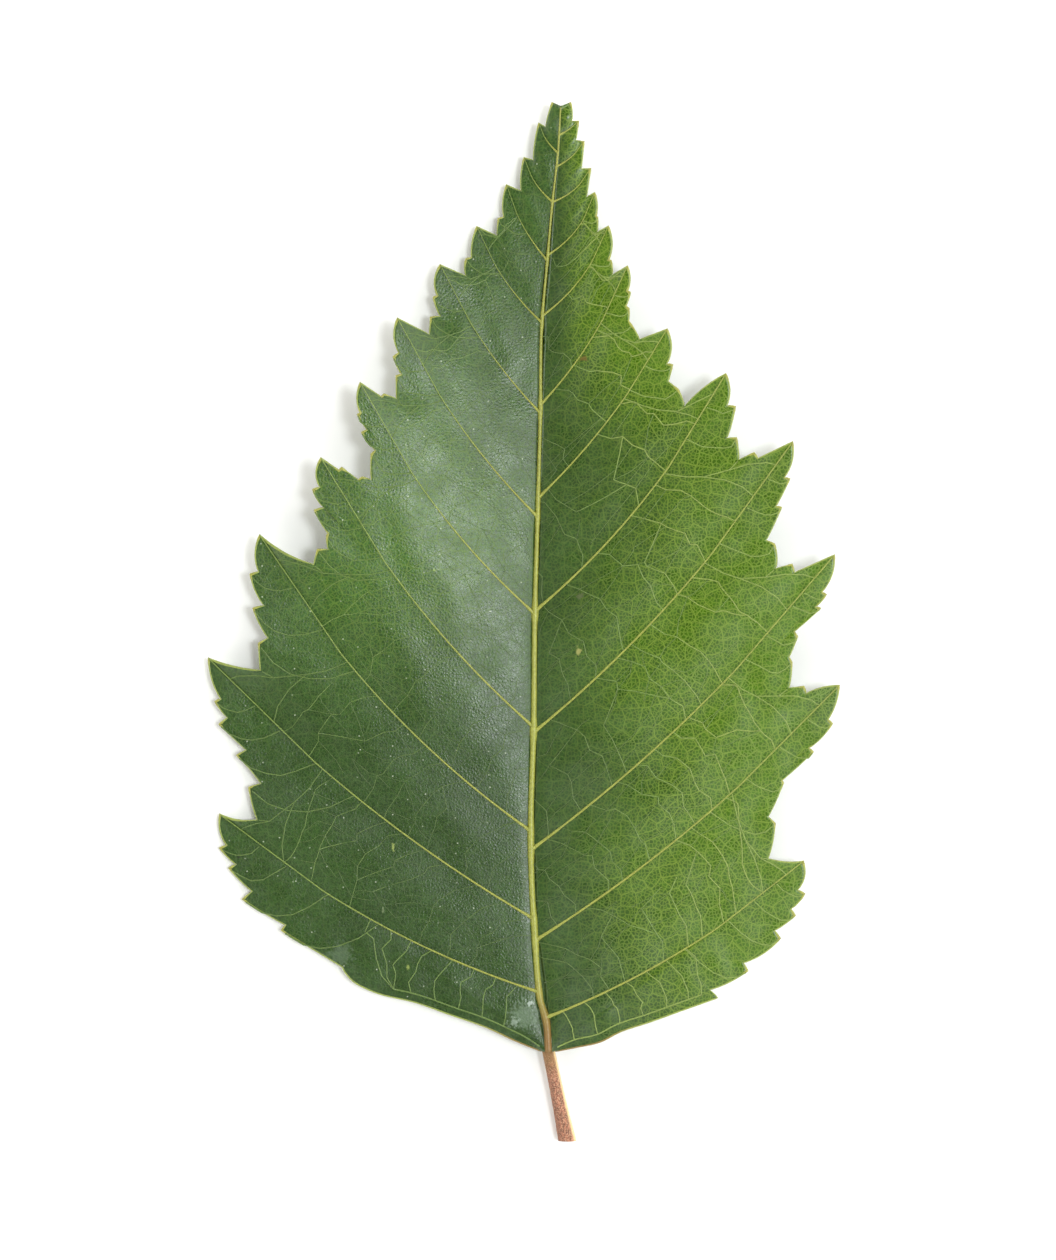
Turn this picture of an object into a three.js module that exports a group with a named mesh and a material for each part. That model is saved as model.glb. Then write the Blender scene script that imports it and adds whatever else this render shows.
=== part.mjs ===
// River birch leaf lying on a table: a toothed blade with its ribs, and the stalk it grew on.
// Millimetres, +Z up, +Y from the stalk to the tip. Places in the lists are measured from the foot of
// the blade; the finished leaf is centred over the origin with its lowest points at z = 0.

import * as THREE from "three";

const { lerp, smoothstep } = THREE.MathUtils;

// Blade
const BLADE_LENGTH = 69.9;
const BLADE_THICKNESS = 0.6;
const BLADE_ROWS = 7;

// Pillows between the veins, flatter towards the stalk: none at the first height, full from the second on
const PILLOW_HEIGHT = 0.2;
const PILLOW_NONE_AT = -10;
const PILLOW_FULL_AT = 24;

// Midrib: its course, its depth under the blade and the half widths of its sole and of its root
const MIDRIB_COURSE = [
  [0, 0], [-0.2, 2.4], [-0.6, 3.8], [-0.8, 5.5], [-1.0, 8.6], [-1.2, 11.6], [-1.3, 16.4], [-1.1, 23.8],
  [-1.0, 32.7], [-0.8, 39.7], [-0.6, 47.3], [-0.5, 53.7], [-0.1, 58.4], [0.3, 62.9], [0.7, 66.5],
  [0.9, BLADE_LENGTH],
];
const MIDRIB_STEPS = 56;
const MIDRIB_DEPTH_AT_FOOT = 0.6;
const MIDRIB_DEPTH_AT_TIP = 0.12;
const MIDRIB_SOLE = 0.35;
const MIDRIB_ROOT = 0.8;

// The midrib lies flat on the table between these two places and lifts towards both ends
const REST_FROM = 14;
const REST_TO = 50;
const LIFT_AT_FOOT = 0.5;
const LIFT_AT_TIP = 1.2;

// Side veins
const VEIN_DEPTH = 0.3;
const VEIN_HALF_WIDTH = 0.5;

// Between two veins the blade is a panel that keeps their course up to a share of their length, its reach.
// Beyond that its lines fan out to the teeth. They start a little lower than the teeth they go to, by the
// power of the lag, and those of the flank under a vein's tooth crowd beside the vein, beyond the knee.
const PANEL_REACH = 0.65;
const PANEL_KNEE = 0.86;
const PANEL_LAG = 1.3;
const LEAST_SHARE_STEP = 0.004;

// Stalk
const STALK_LENGTH = 6.7;
const STALK_HALF_WIDTH_AT_BLADE = 0.5;
const STALK_HALF_WIDTH_AT_CUT = 0.7;
const STALK_FLATNESS = 0.92;
const STALK_SWAY = 1.4;
const STALK_SIDES = 20;
const STALK_STEPS = 8;

// One run of teeth for each side vein, from the stalk to the tip. Each run ends in the vein's own tooth:
//   foot   where the vein leaves the midrib
//   sag    how far the vein bows towards the stalk, as a share of its length
//   lift   height of the underside at the vein's tooth
//   teeth  notch x, notch y, tip x, tip y, swell of the flank up to the tip, dip of the flank before it
const RIGHT_SIDE = {
  outward: 1,
  arch: -0.15,
  shoulder: [
    [0.5, 0], [2.0, 0.3], [3.8, 0.7], [5.4, 1.5], [7.5, 2.2], [9.7, 3.0], [12.5, 4.0],
  ],
  runs: [
    { foot: 2.5, sag: 0.045, lift: 1.6, teeth: [
      [11.9, 4.6, 14.7, 6.0, 0.15], [14.4, 6.6, 17.1, 8.4, 0.24], [16.7, 9.0, 18.2, 10.1, 0.07],
      [17.9, 10.6, 18.9, 11.7, 0.1], [18.4, 12.0, 18.8, 14.1, 0.32]] },
    { foot: 8.2, sag: 0.035, lift: 2.2, teeth: [
      [16.2, 14.3, 16.7, 16.9, 0.11, 0.15], [16.2, 17.4, 17.3, 19.9, 0.07], [17.2, 20.1, 19.5, 22.2, 0.04],
      [19.2, 22.5, 20.9, 24.3, 0.15], [20.6, 24.6, 21.4, 27.1, 0.18]] },
    { foot: 14.9, sag: 0.035, lift: 2.8, teeth: [
      [19.0, 26.5, 18.8, 27.0, 0, -0.15], [17.7, 26.9, 17.9, 28.8, 0.07], [17.7, 29.2, 18.3, 30.7, 0.04],
      [18.1, 31.1, 20.0, 32.8, 0.02], [19.6, 32.9, 20.4, 33.8, 0.07], [20.1, 34.0, 21.0, 36.7, 0.3]] },
    { foot: 23.6, sag: 0.04, lift: 3.1, teeth: [
      [18.1, 35.4, 17.9, 36.0, 0], [16.7, 35.7, 16.6, 37.5, 0.15], [16.0, 37.8, 17.1, 40.2, 0.04],
      [16.7, 40.3, 17.7, 42.3, 0.04], [17.3, 42.4, 17.9, 45.0, 0.3]] },
    { foot: 32.6, sag: 0.05, lift: 3.1, teeth: [
      [15.4, 43.8, 15.1, 44.2, 0], [14.0, 43.7, 13.8, 45.3, 0.04], [13.1, 45.3, 13.7, 47.6, 0.07],
      [13.1, 47.7, 13.0, 50.0, 0.26]] },
    { foot: 41.0, sag: 0.04, lift: 2.8, teeth: [
      [10.0, 47.6, 9.5, 48.9, 0.07, -0.2], [8.8, 49.5, 9.1, 50.7, 0.02],
      [8.7, 50.8, 8.7, 53.3, 0.33]] },
    { foot: 47.9, sag: 0.05, lift: 2.1, teeth: [
      [6.7, 52.6, 6.1, 53.7, 0.04], [5.9, 54.0, 5.9, 54.9, 0.04], [5.7, 55.1, 6.0, 56.1, 0.04],
      [5.8, 56.2, 5.8, 58.0, 0.21]] },
    { foot: 54.5, sag: 0.08, lift: 1.6, teeth: [
      [4.7, 57.4, 4.6, 58.5, 0.06], [4.4, 58.5, 4.4, 61.0, 0.3]] },
    { foot: 59.0, sag: 0.1, lift: 1.4, teeth: [
      [3.6, 60.6, 3.6, 61.7, 0.04], [3.5, 61.8, 3.4, 63.5, 0.15]] },
    { foot: 62.9, sag: 0.1, lift: 1.3, teeth: [[2.8, 63.2, 3.1, 65.3, 0]] },
    { foot: 65.5, sag: 0.08, lift: 1.3, teeth: [[2.4, 65.3, 2.6, 67.3, 0.02]] },
    { foot: 67.8, sag: 0.05, lift: 1.35, teeth: [[2.0, 67.4, 2.2, 68.8, 0.02]] },
    { foot: BLADE_LENGTH, sag: 0, lift: 1.35, teeth: [[1.7, 68.8, 1.6, 70.2, 0.09]] },
  ],
};
const LEFT_SIDE = {
  outward: -1,
  arch: 0.05,
  shoulder: [
    [-0.5, 0], [-2.5, 0.8], [-4.7, 1.8], [-7.3, 2.7], [-9.9, 3.6], [-12.5, 4.2], [-14.3, 5.0], [-15.1, 5.8],
  ],
  runs: [
    { foot: 4.4, sag: 0.05, lift: 0.08, teeth: [
      [-15.3, 6.2, -19.8, 8.9, 0], [-19.5, 9.3, -22.7, 11.2, 0.06], [-22.0, 11.8, -23.7, 13.5, 0.07],
      [-23.2, 13.8, -24.4, 15.0, 0.07], [-23.9, 15.2, -24.4, 17.5, 0.26]] },
    { foot: 9.8, sag: 0.038, lift: 0.6, teeth: [
      [-21.6, 17.1, -22.2, 19.5, 0.07, 0.22], [-21.3, 19.8, -23.1, 21.9, -0.07],
      [-22.4, 22.3, -24.4, 24.2, 0.02], [-23.8, 24.7, -24.7, 25.9, 0.06], [-24.3, 26.1, -25.2, 29.1, 0.22]] },
    { foot: 16.3, sag: 0.055, lift: 1.9, teeth: [
      [-21.3, 28.2, -21.4, 30.2, 0.02, 0.16], [-20.7, 30.6, -21.8, 32.8, 0.11],
      [-21.0, 33.0, -22.0, 35.3, 0.16], [-21.4, 35.5, -21.3, 38.2, 0.3]] },
    { foot: 24.0, sag: 0.046, lift: 3.3, teeth: [
      [-17.3, 36.0, -17.0, 37.1, 0, 0.26], [-16.2, 37.1, -16.3, 38.1, 0.04], [-16.2, 38.3, -17.2, 40.0, 0.06],
      [-16.5, 40.2, -17.3, 41.5, 0.11], [-16.8, 41.7, -16.7, 43.8, 0.33]] },
    { foot: 32.4, sag: 0.05, lift: 3.7, teeth: [
      [-15.4, 42.9, -15.2, 43.1, 0], [-14.0, 42.2, -13.7, 42.4, 0], [-13.0, 42.2, -13.0, 44.1, 0.06],
      [-12.7, 44.4, -13.7, 45.7, 0.06], [-13.3, 45.9, -14.0, 47.0, 0.04], [-13.8, 47.1, -13.8, 49.3, 0.25]] },
    { foot: 39.6, sag: 0.045, lift: 2.8, teeth: [
      [-12.3, 48.3, -12.1, 48.5, 0], [-11.2, 48.2, -11.2, 49.9, 0], [-10.8, 50.0, -11.4, 51.3, 0.06],
      [-11.0, 51.6, -11.1, 54.1, 0.33]] },
    { foot: 47.3, sag: 0.045, lift: 1.2, teeth: [
      [-8.8, 53.0, -8.7, 54.3, 0], [-8.0, 54.4, -8.5, 55.8, 0.06], [-8.2, 55.9, -8.0, 58.2, 0.33]] },
    { foot: 54.0, sag: 0.06, lift: 0.5, teeth: [
      [-6.1, 57.4, -6.1, 58.7, 0.11], [-5.7, 58.8, -5.3, 61.1, 0.15]] },
    { foot: 58.6, sag: 0.06, lift: 0.45, teeth: [
      [-3.8, 60.4, -3.7, 61.7, 0.02], [-3.3, 61.8, -3.1, 64.2, 0.18]] },
    { foot: 62.9, sag: 0.08, lift: 0.65, teeth: [[-2.0, 63.7, -1.8, 66.2, 0.13]] },
    { foot: 66.5, sag: 0.08, lift: 1.0, teeth: [[-1.1, 66.0, -0.7, 68.7, 0.1]] },
    { foot: BLADE_LENGTH, sag: 0, lift: 1.35, teeth: [[-0.2, 68.4, 0.3, 70.2, 0.06]] },
  ],
};

const midribCourse = new THREE.CubicInterpolant(
  MIDRIB_COURSE.map(([, y]) => y), MIDRIB_COURSE.map(([x]) => x), 1,
);

/** Point of the midrib's centre line at height y on the blade. */
function midribPoint(y) {
  return new THREE.Vector2(midribCourse.evaluate(y)[0], y);
}

/** Height of the midrib's sole above the table. */
function midribSole(y) {
  const towardsFoot = Math.max(0, 1 - y / REST_FROM);
  const towardsTip = Math.max(0, (y - REST_TO) / (BLADE_LENGTH - REST_TO));
  return LIFT_AT_FOOT * towardsFoot ** 2 + LIFT_AT_TIP * towardsTip ** 2;
}

/** Height of the blade's underside beside the midrib. */
function bladeAtMidrib(y) {
  return midribSole(y) + lerp(MIDRIB_DEPTH_AT_FOOT, MIDRIB_DEPTH_AT_TIP, y / BLADE_LENGTH);
}

/** Curve from one place to another that swells by the given distance to the given side. */
function swollenCurve(from, to, swell, side) {
  const along = to.clone().sub(from);
  const across = new THREE.Vector2(along.y, -along.x).normalize().multiplyScalar(2 * swell * side);
  const control = from.clone().lerp(to, 0.5).add(across);
  return new THREE.QuadraticBezierCurve(from, control, to);
}

/** Shares along a tooth's flank that are kept as corners: a middle one where it bends, one beside a vein. */
function flankShares(length, swell, veinAtStart, veinAtEnd) {
  const shares = [];
  const besideVein = VEIN_HALF_WIDTH / length;
  if (veinAtStart && besideVein < 0.45) shares.push(besideVein);
  if (Math.abs(swell) > 0.1 || length > 2.4) shares.push(0.5);
  if (veinAtEnd && besideVein < 0.45) shares.push(1 - besideVein);
  return [...shares, 1];
}

/** Margin of one side from the stalk to the tip: corners with the run they belong to, veins marked. */
function marginCorners(side) {
  const shoulder = new THREE.SplineCurve(side.shoulder.map(([x, y]) => new THREE.Vector2(x, y)));
  const corners = shoulder.getPoints(side.shoulder.length + 2).map((point) => ({ point, run: 0 }));
  side.runs.forEach(({ teeth }, run) => {
    teeth.forEach(([notchX, notchY, tipX, tipY, swell, dip = 0], order) => {
      const before = corners.at(-1);
      const notch = new THREE.Vector2(notchX, notchY);
      const tip = new THREE.Vector2(tipX, tipY);
      const endsInVein = order === teeth.length - 1 && run < side.runs.length - 1;
      const inner = swollenCurve(before.point, notch, -dip, side.outward);
      const outer = swollenCurve(notch, tip, swell, side.outward);
      for (const share of flankShares(inner.getLength(), dip, before.vein, false)) {
        corners.push({ point: inner.getPoint(share), run });
      }
      for (const share of flankShares(outer.getLength(), swell, false, endsInVein)) {
        corners.push({ point: outer.getPoint(share), run });
      }
      corners.at(-1).vein = endsInVein;
    });
  });
  return corners;
}

/** Course of a run's vein from the midrib to the vein's own tooth. */
function veinCourse({ foot, sag, teeth }, outward) {
  const start = midribPoint(foot);
  const tip = new THREE.Vector2(...teeth.at(-1).slice(2, 4));
  return swollenCurve(start, tip, sag * start.distanceTo(tip), outward);
}

/** Panels of one side: the vein or edge below, the vein or edge above, their spans and their teeth's lift. */
function bladePanels(side) {
  const edge = new THREE.LineCurve(new THREE.Vector2(0, 0), new THREE.Vector2(...side.shoulder[0]));
  const span = (course) => course.getPoint(0).distanceTo(course.getPoint(1));
  let below = { course: edge, span: span(edge), foot: 0, lift: bladeAtMidrib(0) };
  return side.runs.map((run) => {
    const course = veinCourse(run, side.outward);
    const above = { course, span: span(course), foot: run.foot, lift: run.lift };
    const panel = { below, above };
    below = above;
    return panel;
  });
}

/** Gives each corner of one run its share of the way across the panel, from the vein below to that above. */
function spreadAcrossPanel(corners, { below, above }) {
  const start = below.course.getPoint(PANEL_REACH);
  const across = above.course.getPoint(PANEL_REACH).sub(start);
  let previous = below.course.getPoint(1);
  let travelled = 0;
  for (const corner of corners) {
    const offset = corner.point.clone().sub(start);
    travelled += corner.point.distanceTo(previous);
    previous = corner.point;
    corner.travelled = travelled;
    corner.level = offset.dot(across) / across.lengthSq();
    corner.depth = Math.abs(offset.cross(across)) / across.lengthSq();
  }
  const deeper = (one, other) => (other.depth + other.level / 2 < one.depth + one.level / 2 ? other : one);
  const sinus = corners.reduce(deeper);
  const kneeLevel = PANEL_KNEE ** (1 / PANEL_LAG);
  const lastLevel = corners.at(-1).level;
  let share = 0;
  for (const corner of corners) {
    const beyondKnee = lerp(PANEL_KNEE, 1, (corner.level - kneeLevel) / (lastLevel - kneeLevel));
    const climbing = Math.max(0, sinus.level) ** PANEL_LAG * (corner.travelled / sinus.travelled);
    let target = corner.level < kneeLevel ? Math.max(0, corner.level) ** PANEL_LAG : beyondKnee;
    if (corner.travelled < sinus.travelled) target = climbing;
    share = Math.max(share + LEAST_SHARE_STEP, target);
    corner.share = share;
  }
  for (const corner of corners) corner.share /= share;
}

/**
 * Columns of one half of the blade, each a row of points from beside the midrib out to the margin. The climb
 * is counted in spans that pass evenly from vein to vein, so a notch cuts the slope without a crease.
 */
function bladeColumns(side) {
  const panels = bladePanels(side);
  const corners = marginCorners(side);
  panels.forEach((panel, run) => spreadAcrossPanel(corners.filter((corner) => corner.run === run), panel));
  corners[0].share = 0;
  return corners.map(({ point, run, share, vein }) => {
    const { below, above } = panels[run];
    const footY = lerp(below.foot, above.foot, share);
    const acrossPanel = (reach) => below.course.getPoint(reach).lerp(above.course.getPoint(reach), share);
    const core = acrossPanel(PANEL_REACH);
    const outerSpan = core.distanceTo(point);
    const length = midribPoint(footY).distanceTo(point);
    const spanHere = lerp(below.span, above.span, share);
    const rim = lerp(below.lift, above.lift, share);
    const fullness = smoothstep(footY, PILLOW_NONE_AT, PILLOW_FULL_AT);
    const pillowHere = PILLOW_HEIGHT * fullness * Math.sin(Math.PI * share);
    const soleShare = Math.min(MIDRIB_SOLE / length, 1 / BLADE_ROWS);
    const rootShare = Math.min(MIDRIB_ROOT / length, 2 / BLADE_ROWS);
    const cells = [];
    for (let row = 1; row <= BLADE_ROWS; row += 1) {
      const reach = row === 1 ? soleShare : lerp(rootShare, 1, (row - 2) / (BLADE_ROWS - 2));
      const outer = Math.max(0, (reach - PANEL_REACH) / (1 - PANEL_REACH));
      const place = outer > 0 ? core.clone().lerp(point, outer) : acrossPanel(reach);
      const climb = Math.min(1, Math.min(reach, PANEL_REACH) + (outer * outerSpan) / spanHere);
      const arch = side.arch * Math.sin(Math.PI * climb ** 0.8) * Math.min(1, spanHere / 10);
      const pillow = pillowHere * Math.sin(Math.PI * climb);
      const underside = lerp(bladeAtMidrib(footY), rim, climb) + arch + pillow;
      let bottom = underside;
      if (row === 1) bottom = midribSole(footY);
      else if (vein) bottom -= VEIN_DEPTH * (1 - reach);
      cells.push({ x: place.x, y: place.y, top: underside + BLADE_THICKNESS, bottom });
    }
    return { footY, cells };
  });
}

/** Joins the midrib to the inmost points of one half, stepping along whichever of the two lags. */
function stitchToMidrib(columns, firstIndex, addTriangle) {
  let step = 0;
  let column = 0;
  while (step < MIDRIB_STEPS || column < columns.length - 1) {
    const halfwayY = (BLADE_LENGTH * (step + 0.5)) / MIDRIB_STEPS;
    const columnLags = column < columns.length - 1
      && (step === MIDRIB_STEPS || columns[column + 1].cells[0].y <= halfwayY);
    const inner = firstIndex + column * BLADE_ROWS;
    if (columnLags) {
      addTriangle(step, inner, inner + BLADE_ROWS);
      column += 1;
    } else {
      addTriangle(step, inner, step + 1);
      step += 1;
    }
  }
}

/** Splits the grid of one half into triangles. */
function fillHalf(columns, firstIndex, addTriangle) {
  for (let column = 0; column < columns.length - 1; column += 1) {
    for (let row = 0; row < BLADE_ROWS - 1; row += 1) {
      const near = firstIndex + column * BLADE_ROWS + row;
      const far = near + BLADE_ROWS;
      addTriangle(near, near + 1, far + 1);
      addTriangle(near, far + 1, far);
    }
  }
}

/** Solid between the upper and the lower face, split alike, with a wall round the margin. */
function solidBetweenFaces(cells, triangles) {
  const positions = new Float32Array(cells.length * 6);
  cells.forEach(({ x, y, top, bottom }, index) => {
    positions.set([x, y, top], index * 3);
    positions.set([x, y, bottom], (cells.length + index) * 3);
  });
  const below = cells.length;
  const edges = new Set(triangles.flatMap(([a, b, c]) => [`${a},${b}`, `${b},${c}`, `${c},${a}`]));
  const indices = [];
  for (const [a, b, c] of triangles) {
    indices.push(a, b, c, below + a, below + c, below + b);
    for (const [from, to] of [[a, b], [b, c], [c, a]]) {
      if (!edges.has(`${to},${from}`)) {
        indices.push(from, below + from, below + to, from, below + to, to);
      }
    }
  }
  const geometry = new THREE.BufferGeometry();
  geometry.setAttribute("position", new THREE.BufferAttribute(positions, 3));
  geometry.setIndex(indices);
  geometry.computeVertexNormals();
  return geometry;
}

/** The whole blade: the midrib's line of points in the middle and a half on either side of it. */
function bladeGeometry() {
  const cells = [];
  for (let step = 0; step <= MIDRIB_STEPS; step += 1) {
    const place = midribPoint((BLADE_LENGTH * step) / MIDRIB_STEPS);
    const top = bladeAtMidrib(place.y) + BLADE_THICKNESS;
    cells.push({ x: place.x, y: place.y, top, bottom: midribSole(place.y) });
  }
  const triangles = [];
  for (const side of [RIGHT_SIDE, LEFT_SIDE]) {
    const columns = bladeColumns(side);
    const firstIndex = cells.length;
    for (const column of columns) cells.push(...column.cells);
    const addTriangle = (a, b, c) => triangles.push(side.outward > 0 ? [a, b, c] : [a, c, b]);
    stitchToMidrib(columns, firstIndex, addTriangle);
    fillHalf(columns, firstIndex, addTriangle);
  }
  return solidBetweenFaces(cells, triangles);
}

/** The stalk: a round of upright rings that swells, sways and sinks to the table towards its cut end. */
function stalkGeometry() {
  const profile = [new THREE.Vector2(0, -STALK_LENGTH)];
  for (let step = STALK_STEPS; step >= 0; step -= 1) {
    const share = step / STALK_STEPS;
    const halfWidth = lerp(STALK_HALF_WIDTH_AT_BLADE, STALK_HALF_WIDTH_AT_CUT, share ** 2.2);
    profile.push(new THREE.Vector2(halfWidth, -STALK_LENGTH * share));
  }
  profile.push(new THREE.Vector2(0, 0));
  const geometry = new THREE.LatheGeometry(profile, STALK_SIDES);
  const centreAtBlade = midribSole(0) + (MIDRIB_DEPTH_AT_FOOT + BLADE_THICKNESS) / 2;
  const centreAtCut = STALK_HALF_WIDTH_AT_CUT * STALK_FLATNESS;
  const places = geometry.getAttribute("position");
  for (let index = 0; index < places.count; index += 1) {
    const share = -places.getY(index) / STALK_LENGTH;
    places.setX(index, places.getX(index) + STALK_SWAY * share);
    places.setZ(index, places.getZ(index) * STALK_FLATNESS + lerp(centreAtBlade, centreAtCut, share));
  }
  geometry.computeVertexNormals();
  return geometry;
}

const blade = new THREE.Mesh(
  bladeGeometry(), new THREE.MeshStandardMaterial({ color: 0x4f7a34, roughness: 0.5, metalness: 0 }),
);
blade.name = "leaf_blade";

const stalk = new THREE.Mesh(
  stalkGeometry(), new THREE.MeshStandardMaterial({ color: 0x9c7455, roughness: 0.75, metalness: 0 }),
);
stalk.name = "leaf_stalk";

const leaf = new THREE.Group();
leaf.name = "river_birch_leaf";
leaf.add(blade, stalk);
const box = new THREE.Box3().setFromObject(leaf);
const centre = box.getCenter(new THREE.Vector3());
leaf.position.set(-centre.x, -centre.y, -box.min.z);

export default leaf;
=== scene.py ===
"""Looks of a river birch leaf lying face up: its blade, its vein net, its margin and its stalk.

The blade repeats the formulas of the part's own source, in millimetres from the foot of the blade. It is set
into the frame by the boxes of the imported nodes, so that every piece lies where the solids are.
"""

import logging
import math
from dataclasses import dataclass, field
from enum import Enum

import bpy
import numpy as np
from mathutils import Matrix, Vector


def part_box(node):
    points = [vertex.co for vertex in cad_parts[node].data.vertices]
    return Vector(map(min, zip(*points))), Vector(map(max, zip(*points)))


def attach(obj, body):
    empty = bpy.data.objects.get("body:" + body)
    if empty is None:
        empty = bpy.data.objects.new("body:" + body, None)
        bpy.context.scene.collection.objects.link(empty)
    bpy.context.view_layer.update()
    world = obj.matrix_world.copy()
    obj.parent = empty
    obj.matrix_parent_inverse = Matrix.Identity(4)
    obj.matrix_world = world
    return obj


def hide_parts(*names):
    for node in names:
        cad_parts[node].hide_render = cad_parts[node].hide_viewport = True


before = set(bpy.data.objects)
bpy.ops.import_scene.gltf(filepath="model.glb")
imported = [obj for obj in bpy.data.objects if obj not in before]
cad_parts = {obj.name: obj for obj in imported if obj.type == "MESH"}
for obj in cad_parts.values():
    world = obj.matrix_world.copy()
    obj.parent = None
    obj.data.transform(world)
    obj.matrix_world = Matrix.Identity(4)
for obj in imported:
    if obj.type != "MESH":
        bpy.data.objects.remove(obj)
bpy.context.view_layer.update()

MM = 0.001
BODY = "root"
LOG = logging.getLogger("birch_leaf")

Array = np.ndarray
Colour = tuple[float, float, float]
Socket = bpy.types.NodeSocket


class Slot(Enum):
    """Names of the record's material slots, handed to each piece's build, which does not read them."""

    BLADE = "leaf_blade"
    STALK = "leaf_stalk"


class Level(Enum):
    """Orders of veins, from the stoutest to the finest that are shaped as ribs."""

    MIDRIB = "midrib"
    SIDE = "side_veins"
    NET = "vein_net"


def lerp(start: Array | float, end: Array | float, share: Array | float) -> Array | float:
    """Straight blend from start to end."""
    return start + (end - start) * share


def smoothstep(low: float, high: float, value: Array) -> Array:
    """Smooth climb from 0 at low to 1 at high."""
    share = np.clip((value - low) / (high - low), 0.0, 1.0)
    return share * share * (3.0 - 2.0 * share)


def bezier(controls: Array, share: Array) -> Array:
    """Points of a quadratic curve.

    Args:
        controls: The start, control and end point, as rows.
        share: Shares of the way along it, of any shape.

    Returns:
        The points, with a last axis for x and y.
    """
    t = np.asarray(share, float)[..., None]
    return (1 - t) ** 2 * controls[0] + 2 * t * (1 - t) * controls[1] + t**2 * controls[2]


def swollen_curve(start: Array, end: Array, swell: float, outward: int) -> Array:
    """Controls of a curve between two places that swells sideways.

    The control point is the middle of the chord, moved at right angles to it by twice the swell.

    Args:
        start: First place.
        end: Last place.
        swell: Greatest distance of the curve from its chord.
        outward: 1 or -1, the side that it swells to.

    Returns:
        The start, control and end point, as rows.
    """
    start, end = np.asarray(start, float), np.asarray(end, float)
    along = end - start
    across = np.array([along[1], -along[0]]) / np.hypot(*along)
    return np.array([start, (start + end) / 2 + 2 * swell * outward * across, end])


def catmull_rom(knots: Array, count: int) -> Array:
    """Smooth path through knots, each stretch a cubic whose slopes are half the span of its neighbours.

    Args:
        knots: Knots on the last axis but one, coordinates on the last axis.
        count: Number of points, spread evenly over the stretches.

    Returns:
        The path's points, with the leading axes of the knots.
    """
    last = knots.shape[-2] - 1
    place = np.linspace(0, last, count)
    index = np.minimum(place.astype(int), last - 1)
    t = (place - index)[:, None]
    before = knots[..., np.maximum(index - 1, 0), :]
    start, end = knots[..., index, :], knots[..., index + 1, :]
    after = knots[..., np.minimum(index + 2, last), :]
    leave, arrive = (end - before) / 2, (after - start) / 2
    cubic = 2 * start - 2 * end + leave + arrive
    square = 3 * end - 3 * start - 2 * leave - arrive
    return ((cubic * t + square) * t + leave) * t + start


def bent_line(knots: Array, count: int) -> Array:
    """Straight stretches from knot to knot.

    Args:
        knots: Knots by path, knot and coordinate.
        count: Points along each path.

    Returns:
        Points by path, point and coordinate.
    """
    place = np.linspace(0, knots.shape[1] - 1, count)
    low = np.minimum(place.astype(int), knots.shape[1] - 2)
    return lerp(knots[:, low], knots[:, low + 1], (place - low)[:, None])


def span(step: Array) -> Array:
    """Length of steps in plan, with x and y on the last axis."""
    return np.hypot(step[..., 0], step[..., 1])


def sideways(path: Array) -> Array:
    """Unit steps square to paths in plan, to the left of the way they run.

    Args:
        path: Points on the last axis but one, x and y on the last axis.

    Returns:
        A step for each point, square to the line between its neighbours.
    """
    along = np.gradient(path, axis=-2)
    along /= np.maximum(span(along), 1e-9)[..., None]
    return np.stack([-along[..., 1], along[..., 0]], -1)


def waves(x: Array, y: Array, length: float, seed: int) -> Array:
    """Smooth random swell about 0, a sum of twelve plane waves of about the given length.

    Args:
        x: Places across, in millimetres.
        y: Places along, in millimetres.
        length: Usual length of a wave.
        seed: Picks the directions and phases.

    Returns:
        Heights of about -1 to 1.
    """
    draw = np.random.default_rng(seed)
    turn, phase = draw.uniform(0, 2 * math.pi, (2, 12))
    pitch = 2 * math.pi / (length * draw.uniform(0.7, 1.5, 12))
    angle = np.asarray(x)[..., None] * np.cos(turn) + np.asarray(y)[..., None] * np.sin(turn)
    return np.sin(angle * pitch + phase).sum(-1) / math.sqrt(24)


@dataclass(frozen=True)
class VeinRun:
    """One side vein and the teeth of the margin up to its own tooth.

    Each tooth gives notch x, notch y, tip x, tip y, swell of its outer flank and, where it has one, the dip
    of the flank before it.
    """

    foot: float
    sag: float
    lift: float
    teeth: tuple[tuple[float, ...], ...]


@dataclass(frozen=True)
class SideSizes:
    """Sizes of one side of the blade: its margin from the stalk, its arch and pillows, its runs of teeth."""

    outward: int
    arch: float
    pillow: float
    shoulder: tuple[tuple[float, float], ...]
    runs: tuple[VeinRun, ...]


BLADE_LENGTH = 69.9

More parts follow.
